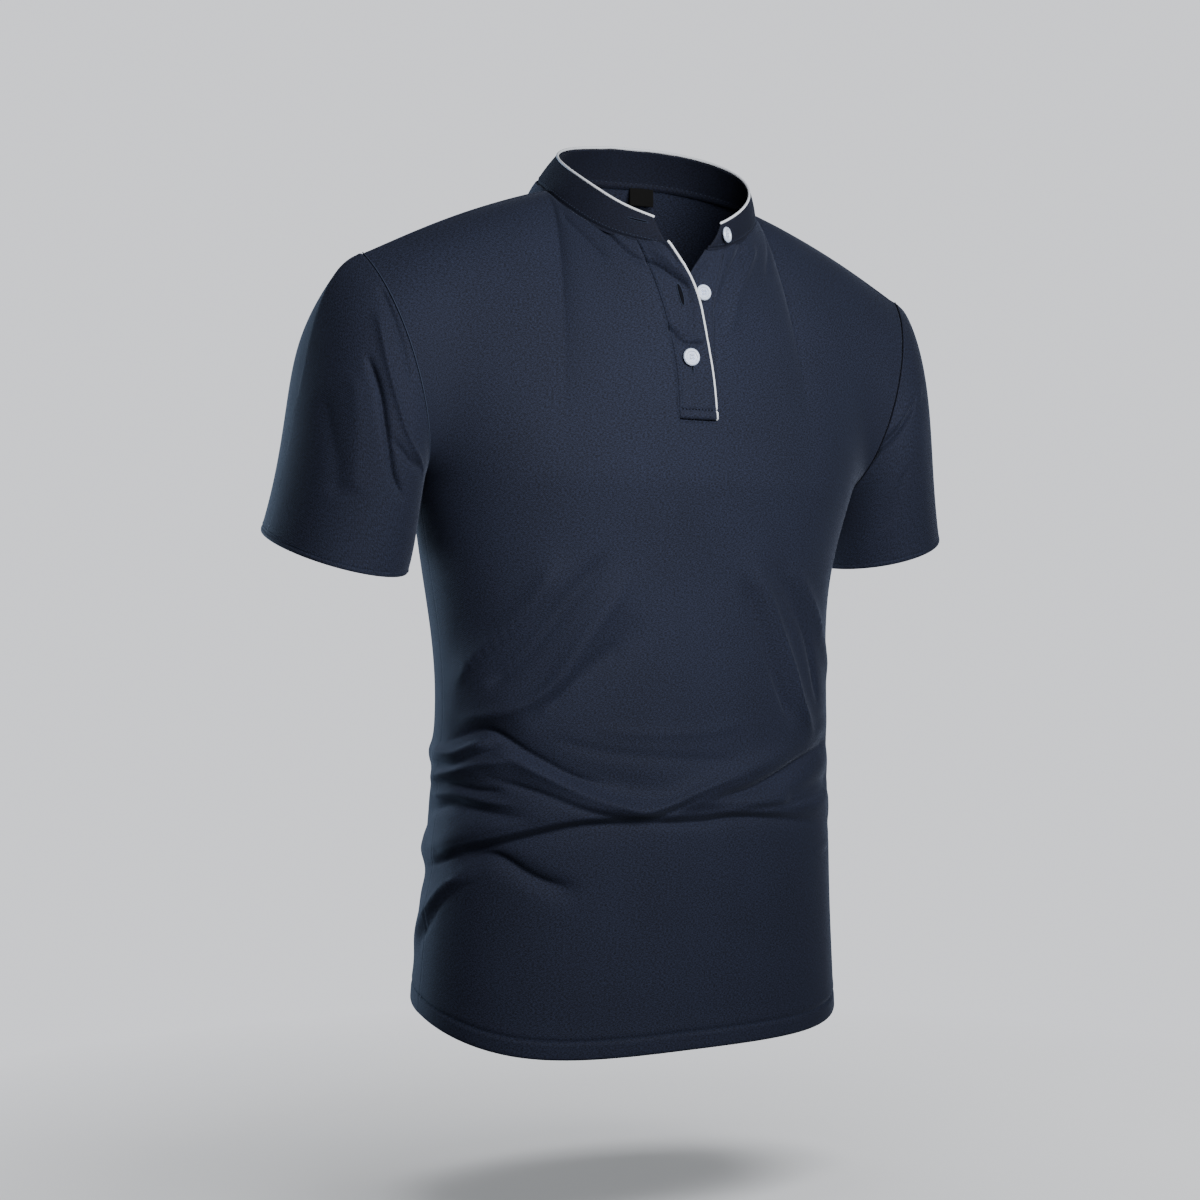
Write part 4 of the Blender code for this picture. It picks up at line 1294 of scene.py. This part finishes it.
def band_point(turn: Array, height: Array) -> Array:
    """A point of the collar band's outer face, on a straight line from neckline to top edge."""
    a = np.radians(turn)
    base = neckline_point(turn)
    y = TOP_CENTRE_Y - TOP_DEPTH * np.cos(a)
    top = stack(TOP_HALF_WIDTH * np.sin(a), y, read(NECK_HEIGHTS, "top", wrap(turn)))
    return base + (top - base) * np.asarray(height)[..., None]


def band_turn(share: Array, height: Array) -> Array:
    """The angle round the neck at a share of the band's length, for its slanting ends."""
    start = 360 + RIGHT_END.base + (RIGHT_END.top - RIGHT_END.base) * height
    end = LEFT_END.base + (LEFT_END.top - LEFT_END.base) * height
    return start + (end - start) * share


@dataclass
class CollarBand:
    """The low standing band with white piping along its top edge."""

    finishes: Finishes
    stitch_height: float = 0.13
    inner_height: float = 0.07
    hole_turn: tuple[float, float] = (-39.5, -29.0)
    hole_height: tuple[float, float] = (0.66, 0.74)
    button_turn: float = 18.0

    def surface(self) -> Array:
        """Outer points of the band, with a topstitch groove, rolled edges and a soft swell."""
        height = spans((-0.06, 0.1, 6), (0.1, 0.9, 14), (0.9, 1.0, 5))[:, None]
        share = spans((0, 0.02, 8), (0.02, 0.98, 200), (0.98, 1.0, 8))[None, :]
        turn = band_turn(share, height)
        level = np.broadcast_to(height, turn.shape)
        grid = band_point(turn, level)
        normal = unit(np.cross(np.gradient(grid, axis=1), np.gradient(grid, axis=0)))
        centre = np.array([0, NECK_CENTRE_Y, 0])
        normal *= np.sign(((grid - centre) * normal)[..., :2].sum(-1, keepdims=True))
        ends = np.minimum(share, 1 - share) * 430.0
        out = 0.6 * np.sin(math.pi * np.clip(level, 0, 1)) - 0.6 * bell(ends, 0.8)
        out = out - 0.8 * bell((level - 0.02) * 22, 1.0) + 0.15 * np.sin(np.radians(turn) * 17) * level
        return grid + normal * out[..., None]

    def build(self) -> list[Thing]:
        """Builds the band, its piping, its buttonhole and its stitches."""
        band = cloth_sheet("collar_band_cloth", self.surface(), BAND_CLOTH, flip=True)
        turn = band_turn(np.linspace(0, 1, 260), 1.0)
        edge = band_point(turn, np.ones(len(turn)))
        inward = -away_from_axis(edge, TOP_CENTRE_Y)
        line = edge + inward * BAND_CLOTH / 2 + np.array([0, 0, PIPING_RADIUS * PIPING_SET])
        piping = tube_mesh("collar_piping_cord", line, PIPING_RADIUS, 12)
        return self.dress(band, piping) + self.buttonhole() + self.sew()

    def sew(self) -> list[Thing]:
        """The stitches just above the seam outside, and the ones that show inside the neck."""
        made = []
        # Each: its height on the band, the side that it shows on, how far it is from the outer face.
        outer, inner = (self.stitch_height, 1, 0.12), (self.inner_height, -1, BAND_CLOTH + 0.15)
        for word, ends, (height, side, off), stitch in (
            ("stitches", (0.012, 0.988, 300), outer, BAND_STITCH),
            ("inner_stitches", (0.22, 0.8, 180), inner, BAND_INNER_STITCH),
        ):
            turn = band_turn(np.linspace(*ends), height)
            points = band_point(turn, np.full(turn.shape, height))
            normal = side * away_from_axis(points, NECK_CENTRE_Y)
            line = points + normal * off
            made.append(sewn_row(f"collar_band_{word}", line, normal, stitch, self.finishes.pale))
        return made

    def buttonhole(self) -> list[Thing]:
        """The level buttonhole at the band's right end."""
        turn, height = np.linspace(*self.hole_turn, 24), np.linspace(*self.hole_height, 24)
        points = band_point(turn, height)
        beside, above = band_point(turn + 0.5, height), band_point(turn, height + 0.05)
        normal = unit(np.cross(beside - points, above - points))
        normal *= -np.sign(normal[:, 1:2])
        line = (points + normal * 0.55, normal)
        return Buttonhole("buttonhole_collar", line, self.finishes, 0.45, 0.6).build()

    def button(self) -> list[Thing]:
        """The button at the band's left end, which leans back a little."""
        turn = self.button_turn + np.array([[0, 2.0], [0, 2.0]])
        place, normal = grid_place(band_point(turn, 0.5 + np.array([[0, 0], [0.1, 0.1]])), 0, 0, BUTTON_OFF)
        normal = unit(normal + np.array([0.25, 0.0, 0.3]))
        return Button("button_collar", place, normal, self.finishes, 5.8).build()

    def dress(self, band: Thing, piping: Thing) -> list[Thing]:
        """Gives band and piping their cloths; the band's knit is darkened with painted shade."""
        dress(band, self.finishes.band, "collar_band")
        dress(piping, self.finishes.white, "collar_piping")
        return [band, piping]


@dataclass
class Placket:
    """The two strips of the half placket, with piping along the upper one's free edge."""

    finishes: Finishes
    rows: int = 150
    columns: int = 30
    box: tuple[float, float] = (-174.2, -167.0)
    fold_line: float = 17.0
    fold_line_top: float = -136.0

    def __post_init__(self) -> None:
        """Works out both strips' outer points."""
        self.upper = self.surface("right_seam", "right_free", UPPER_REST, UPPER_EDGE, True)
        self.under = self.surface("left_seam", "left_free", UNDER_SEAM, UNDER_EDGE, False)

    def surface(self, seam: str, free: str, seam_lift: float, free_lift: float, flap: bool) -> Array:
        """Outer points of a strip, row by row from its foot to the neckline.

        Args:
            seam: name of the edge that is sewn to the front.
            free: name of the free edge.
            seam_lift: how far the strip lies over the front's face at the seam.
            free_lift: the same at the free edge.
            flap: True where the strip's top stands open.

        Returns:
            Points in millimetres.
        """
        foot = rise_at(PLACKET_FOOT_Z)
        rise = np.linspace(foot + 0.004, 1.9995, self.rows)
        start, end = placket_share(seam, rise), placket_share(free, rise)
        width = np.linspace(0, 1, self.columns)
        share = start[:, None] + (end - start)[:, None] * width
        level = np.broadcast_to(rise[:, None], share.shape)
        point = panel_point(share, level, False)
        lift = seam_lift + (free_lift - seam_lift) * width[None, :]
        size = np.linalg.norm(point[:, -1] - point[:, 0], axis=1)[:, None]
        inner, outer = width[None, :] * size, (1 - width[None, :]) * size
        lift = lift - 0.3 * bell(inner, 0.7) + 0.3 * bell(inner - 2.2, 1.3) - 0.4 * bell(outer, 0.7)
        lift = lift + fold_height(NECK_FOLDS, 90 * share, point[..., 2], NECK_PER_DEGREE)
        lift = lift + neck_pucker(share, level)
        if flap:
            lift = lift + self.open_lift(point[..., 2], width[None, :])
            lift = lift + self.foot_relief(point[..., 2], inner)
        return point + surface_normal(share, level, False) * lift[..., None]

    def open_lift(self, z: Array, width_share: Array) -> Array:
        """How far the open flap stands off: l S(t) w^1.5, most at its free edge, at the neck."""
        return FLAP_LIFT * smooth((z - FASTENED_Z) / (LOOSE_Z - FASTENED_Z)) * width_share**1.5

    def foot_relief(self, z: Array, inner: Array) -> Array:
        """The stitched box at the foot and the fold line above it.

        The box swells half a millimetre between two rows where the stitches pull the cloth in, and
        the fold line is a shallow groove halfway across, from the box up to the button.
        """
        low, high = self.box
        swell = 0.5 * smooth((z - low) / 2) * smooth((high - z) / 2)
        pull = 0.9 * (bell(z - low, 0.9) + bell(z - high, 0.9))
        reach = smooth((z - high) / 3) * smooth((self.fold_line_top - z) / 4)
        return swell - pull - 0.35 * bell(inner - self.fold_line, 0.8) * reach

    def piping_line(self) -> Array:
        """The middle of the cord along the upper strip's free edge."""
        edge, inner = self.upper[:, -1], self.upper[:, -3]
        across = unit(edge - inner)
        normal = unit(np.cross(across, np.gradient(edge, axis=0)))
        return edge + across * PIPING_RADIUS * PIPING_SET - normal * PLACKET_CLOTH / 2

    def build(self) -> list[Thing]:
        """Builds both strips and the piping."""
        upper = cloth_sheet("placket_upper_cloth", self.upper, PLACKET_CLOTH)
        under = cloth_sheet("placket_under_cloth", self.under, PLACKET_CLOTH, flip=True)
        piping = tube_mesh("placket_piping_cord", self.piping_line(), PIPING_RADIUS, 12)
        return self.dress(upper, under, piping) + self.sew()

    def sew(self) -> list[Thing]:
        """Sews the box, the seam's topstitching and the buttonholes on the upper strip."""
        made, grid, last = [], self.upper, self.columns - 1
        # The box stitches are near-black thread: painted shadow of the holes that the stitches pull into
        # the cloth.
        for word, z in zip(("low", "high"), self.box):
            line = apart([grid_place(grid, row_at(grid, c, z), c) for c in range(2, last)])
            name = f"placket_box_stitches_{word}"
            made.append(sewn_row(name, *line, BOX_STITCH, self.finishes.dark))
        seam = apart([grid_place(grid, row, 2.6) for row in np.linspace(9, len(grid) - 3, 60)])
        made.append(sewn_row("placket_seam_stitches", *seam, SEAM_STITCH, self.finishes.thread))
        for word, ends, across, gap in (
            ("open", (-75.0, -91.0), (0.62, 0.57), 1.25),
            ("fastened", (-126.0, -140.5), (0.46, 0.46), 0.5),
        ):
            z, width = np.linspace(*ends, 24), np.linspace(*across, 24) * last
            line = apart([grid_place(grid, row_at(grid, int(c), h), c) for h, c in zip(z, width)])
            made += Buttonhole(f"buttonhole_{word}", line, self.finishes, gap).build()
        return made

    def buttons(self) -> list[Thing]:
        """The fastened button, on the upper strip, and the open one, on the strip under it."""
        made = []
        for node, grid, z, width, radius in (
            ("button_fastened", self.upper, -129.0, 0.45, 6.4),
            ("button_open", self.under, -80.0, 0.433, 5.9),
        ):
            column = width * (self.columns - 1)
            place, normal = grid_place(grid, row_at(grid, int(column), z), column, BUTTON_OFF)
            made += Button(node, place, normal, self.finishes, radius).build()
        return made

    def dress(self, upper: Thing, under: Thing, piping: Thing) -> list[Thing]:
        """Gives the strips and the piping their cloths."""
        for piece, node in ((upper, "placket_upper"), (under, "placket_under")):
            dress(piece, self.finishes.knit, node)
        return [upper, under, dress(piping, self.finishes.white, "placket_piping")]


@dataclass
class Button:
    """A turned four-hole button and the thread that holds it."""

    node: str
    place: Array
    normal: Array
    finishes: Finishes
    radius: float
    thick: float = 2.4
    hole: float = 0.8
    hole_depth: float = 1.25
    reach: float = 1.65
    dish: float = 0.66
    thread_radius: float = 0.34

    def frame_axes(self) -> Array:
        """The button's two level directions and its facing, as rows."""
        facing = unit(np.asarray(self.normal, float))
        level = unit(np.cross([0.0, 0.0, 1.0], facing))
        return np.array([level, np.cross(facing, level), facing])

    def front_height(self, x: Array, y: Array) -> Array:
        """The face: a dished middle, a raised rim with a rounded edge, and four sunk holes."""
        r = np.hypot(x, y) / self.radius
        rim = smooth((r - 0.58) / 0.12) - smooth((r - 0.86) / 0.14) ** 2
        face = self.thick * (self.dish + (1 - self.dish) * rim)
        for a in np.radians([45, 135, 225, 315]):
            away = np.hypot(x - self.reach * np.cos(a), y - self.reach * np.sin(a))
            face = face - self.hole_depth * smooth((self.hole - away) / 0.35 + 0.5)
        return face

    def build(self) -> list[Thing]:
        """Builds the button as one lathe-like grid, r from the face's middle round to the back."""
        turn = np.linspace(0, 2 * math.pi, 72, endpoint=False)[None, :]
        share = np.concatenate([spans((0.0, 0.5, 26), (0.5, 1.0, 16)), [1.02, 0.98, 0.9, 0.0]])[:, None]
        x, y = self.radius * share * np.cos(turn), self.radius * share * np.sin(turn)
        z = self.front_height(x, y)
        z[-4:] = np.array([0.45, 0.18, 0.0, 0.0])[:, None] * self.thick
        axes = self.frame_axes()
        button = grid_mesh(f"{self.node}_disc", stack(x, y, z) @ axes + self.place, closed=True)
        return self.dress(button, self.threads(axes))

    def threads(self, axes: Array) -> Thing:
        """Two parallel threads between the holes, as one mesh without the cells between them."""
        half, at = self.reach * math.sqrt(0.5), np.linspace(0, 1, 12)
        rise = self.thick * self.dish + 0.1 + 0.5 * np.sin(math.pi * at)
        lines = [stack(half * (2 * at - 1), side * half, rise) @ axes + self.place for side in (-1, 1)]
        tubes = [tube_grid(line, self.thread_radius) for line in lines]
        grid = np.concatenate(tubes)
        keep = np.ones((len(grid) - 1, grid.shape[1]), bool)
        keep[len(tubes[0]) - 1] = False
        return grid_mesh(f"{self.node}_thread", grid, keep, closed=True, flip=True)

    def dress(self, button: Thing, thread: Thing) -> list[Thing]:
        """Gives the button its pearl and the thread its cotton."""
        dress(button, self.finishes.pearl, self.node)
        return [button, dress(thread, self.finishes.cotton)]


@dataclass
class SizeLabel:
    """The woven label that hangs inside the back neck, left bare."""

    finishes: Finishes
    turn: float = 157.0
    top: float = 1.98
    gap: float = 2.2
    raised: float = 4.0
    width: float = 18.0
    height: float = 15.0
    thick: float = 0.8
    curl: float = 0.5

    def build(self) -> list[Thing]:
        """Builds the label as a small sheet with a slight curl."""
        share = (180 - self.turn) / 90 * NECK_SHARE
        half = self.width / 2 / NECK_HALF_WIDTH * NECK_SHARE * 0.72
        across = np.linspace(share - half, share + half, 17)[None, :]
        level = np.full(across.shape, self.top)
        inward = -surface_normal(across, level, True)
        edge = panel_point(across, level, True) + inward * (CLOTH + self.gap)
        drop = np.linspace(1, 0, 15)[:, None]
        grid = np.repeat(edge, 15, axis=0)
        grid[..., 2] += self.raised - self.height * drop
        grid = grid + inward * (self.curl * drop**2)[..., None]
        return self.dress(cloth_sheet("size_label_cloth", grid, self.thick, flip=True))

    def dress(self, label: Thing) -> list[Thing]:
        """Gives the label its woven satin."""
        dress(label, self.finishes.satin, "size_label")
        return [label]


@dataclass
class Stitching:
    """The hem's stitch line round the trunk, and the neck seam's stitches inside the back."""

    finishes: Finishes
    neck_level: float = 1.982

    def hem_line(self, behind: bool) -> tuple[Array, Array]:
        """The stitch line's points on one panel and the normals there."""
        share = np.linspace(-0.995, 0.995, 260)
        rise = HEM_DEPTH / (UNDERARM_Z - read(HEM, "z", wrap(panel_angle(share, behind))))
        return cloth_point(share, rise, behind), surface_normal(share, rise, behind)

    def neck_line(self) -> tuple[Array, Array]:
        """The neck seam's stitches: points on the back panel's inner face, and inward normals."""
        share = np.linspace(-NECK_SHARE * 0.9, NECK_SHARE * 0.9, 90)
        level = np.full(share.shape, self.neck_level)
        out = surface_normal(share, level, True)
        return cloth_point(share, level, True) - out * (CLOTH + 0.05), -out

    def build(self) -> list[Thing]:
        """Builds the rows in their thread."""
        thread = self.finishes.thread
        made = [sewn_row("neck_seam_stitches", *self.neck_line(), NECK_STITCH, thread)]
        for behind, word in ((False, "front"), (True, "back")):
            made.append(sewn_row(f"hem_stitches_{word}", *self.hem_line(behind), HEM_STITCH, thread))
        return made


@dataclass
class SeamCords:
    """The thin lines that show in the seams, as cords between the pieces; the armholes' cords are painted
    highlight and painted shadow.
    """

    finishes: Finishes
    out: float = 0.5
    placket_out: float = 0.78
    placket_radius: float = 0.6

    def build(self, placket: Array) -> list[Thing]:
        """Builds both armholes' cords, a painted highlight on the right and a painted shadow on the left,
        and the one of the placket's sewn edge.
        """
        made = []
        # The right armhole's cord in pale thread is a painted highlight along the lit seam edge; the left
        # one in near-black is painted shadow in the seam's groove.
        for side, radius, painted_tone in (
            (Side.RIGHT, 0.45, self.finishes.pale),
            (Side.LEFT, 0.55, self.finishes.dark),
        ):
            loop = armhole(side.value) * np.array([side.value, 1, 1])
            middle = loop.mean(axis=0)
            inward = unit(np.array([0.0, middle[1], middle[2]]) - loop * np.array([0, 1, 1]))
            cord = tube_mesh(f"armhole_cord_{side.name.lower()}", loop - inward * self.out, radius)
            made.append(dress(cord, painted_tone))
        _, normal = apart([grid_place(placket, row, 0.0) for row in range(len(placket) - 1)])
        line = placket[:-1, 0] - normal * self.placket_out
        cord = tube_mesh("placket_seam_cord", line, self.placket_radius)
        return [*made, dress(cord, self.finishes.knit)]


class Lamp(NamedTuple):
    """An area light: metres ahead of the neck's axis, to its right and up, size, power and aim."""

    ahead: float
    right: float
    z: float
    wide: float
    high: float
    watts: float
    aim_z: float = -0.3
    colour: tuple[float, float, float] = (1.0, 1.0, 1.0)


RIM_BLUE = (0.6, 0.79, 1.06)
LAMPS = {
    "key": Lamp(-0.85, 0.38, 0.06, 0.6, 0.6, 15.5, -0.1),
    "rim_left": Lamp(0.85, -1.25, -0.25, 0.7, 1.2, 22.5, colour=RIM_BLUE),
    "rim_right": Lamp(1.6, 0.65, -0.1, 0.3, 1.4, 4.5, colour=RIM_BLUE),
}
FLOOR_LAMP = Lamp(0.05, 0.35, 1.0, 1.6, 1.6, 50.0, -0.6)


@dataclass
class Studio:
    """Floor, lights, world and camera."""

    view_turn: float = 28.0
    distance: float = 1.6
    camera_z: float = -0.343
    lens: float = 62.4
    shift: tuple[float, float] = (-48 / 1200, 50 / 1200)
    floor_z: float = -0.755
    floor_rings: tuple[float, ...] = (0.0, 0.3, 0.6, 0.9, 1.3)
    fill: float = 0.07
    fill_colour: Colour = (0.94, 0.97, 1.0, 1.0)
    backdrop: Colour = (1.07, 1.09, 1.15, 1.0)

    def axes(self) -> tuple[Vector, Vector]:
        """The view's level direction and its right hand."""
        a = math.radians(self.view_turn)
        return Vector((math.sin(a), math.cos(a), 0)), Vector((math.cos(a), -math.sin(a), 0))

    def camera(self) -> None:
        """Sets the camera level, before the neck's axis, with the picture's own crop as shift."""
        forward, _ = self.axes()
        data = bpy.data.cameras.new("camera")
        data.lens, data.sensor_width = self.lens, 36.0
        data.shift_x, data.shift_y = self.shift
        camera = bpy.data.objects.new("camera", data)
        bpy.context.scene.collection.objects.link(camera)
        camera.location = -forward * self.distance + Vector((0, 0, self.camera_z))
        camera.rotation_euler = (math.radians(90), 0, -math.radians(self.view_turn))
        bpy.context.scene.camera = camera

    def light(self, name: str, lamp_at: Lamp) -> Thing:
        """Adds an area light."""
        forward, aside = self.axes()
        data = bpy.data.lights.new(name, "AREA")
        data.shape, data.energy, data.color = "RECTANGLE", lamp_at.watts, lamp_at.colour
        data.size, data.size_y = lamp_at.wide, lamp_at.high
        lamp = bpy.data.objects.new(name, data)
        bpy.context.scene.collection.objects.link(lamp)
        lamp.location = forward * lamp_at.ahead + aside * lamp_at.right + Vector((0, 0, lamp_at.z))
        aim = Vector((0, 0, lamp_at.aim_z)) - lamp.location
        lamp.rotation_euler = aim.to_track_quat("-Z", "Y").to_euler()
        return lamp

    def world(self) -> None:
        """The plain backdrop that the camera sees and the weaker fill that the shirt gets."""
        world = bpy.data.worlds.new("studio")
        bpy.context.scene.world = world
        world.use_nodes = True
        nodes, links = world.node_tree.nodes, world.node_tree.links
        fill, seen = nodes["Background"], nodes.new("ShaderNodeBackground")
        fill.inputs[0].default_value = self.fill_colour
        fill.inputs[1].default_value = self.fill
        seen.inputs[0].default_value = self.backdrop
        path, mix = nodes.new("ShaderNodeLightPath"), nodes.new("ShaderNodeMixShader")
        sources = (path.outputs["Is Camera Ray"], fill.outputs[0], seen.outputs[0])
        for place, source in enumerate(sources):
            links.new(source, mix.inputs[place])
        links.new(mix.outputs[0], nodes["World Output"].inputs["Surface"])

    def floor(self) -> Thing:
        """A pale floor that fades into the backdrop away from the shirt."""
        radius = np.array(self.floor_rings)[:, None] / MM
        turn = np.linspace(0, 2 * math.pi, 64, endpoint=False)[None, :]
        flat = stack(radius * np.cos(turn), radius * np.sin(turn), self.floor_z / MM)
        floor = grid_mesh("studio_floor", flat, closed=True)
        floor.data.materials.append(FloorFinish().material())
        floor.visible_diffuse = floor.visible_glossy = False
        return floor

    def build(self) -> None:
        """Sets everything up: the floor has a lamp of its own, and the others leave it out."""
        self.camera()
        self.world()
        floor = self.floor()
        below, other = (bpy.data.collections.new(name) for name in ("floor_only", "not_floor"))
        below.objects.link(floor)
        other.objects.link(floor)
        other.collection_objects[0].light_linking.link_state = "EXCLUDE"
        for name, lamp_at in LAMPS.items():
            self.light(name, lamp_at).light_linking.receiver_collection = other
        self.light("floor_light", FLOOR_LAMP).light_linking.receiver_collection = below


def main() -> None:
    """Builds every piece in order."""
    logging.basicConfig(level=logging.INFO, format="%(message)s")
    finishes = Finishes.make()
    made = [Panel(False, finishes).build(), Panel(True, finishes).build()]
    for side in Side:
        made += Sleeve(side, finishes).build()
    collar, placket = CollarBand(finishes), Placket(finishes)
    made += collar.build() + placket.build() + placket.buttons() + collar.button()
    made += SizeLabel(finishes).build() + Stitching(finishes).build()
    made += SeamCords(finishes).build(placket.upper)
    for piece in made:
        LOG.info("%s: %d faces", piece.name, len(piece.data.polygons))
    Studio().build()


if __name__ == "__main__":
    main()
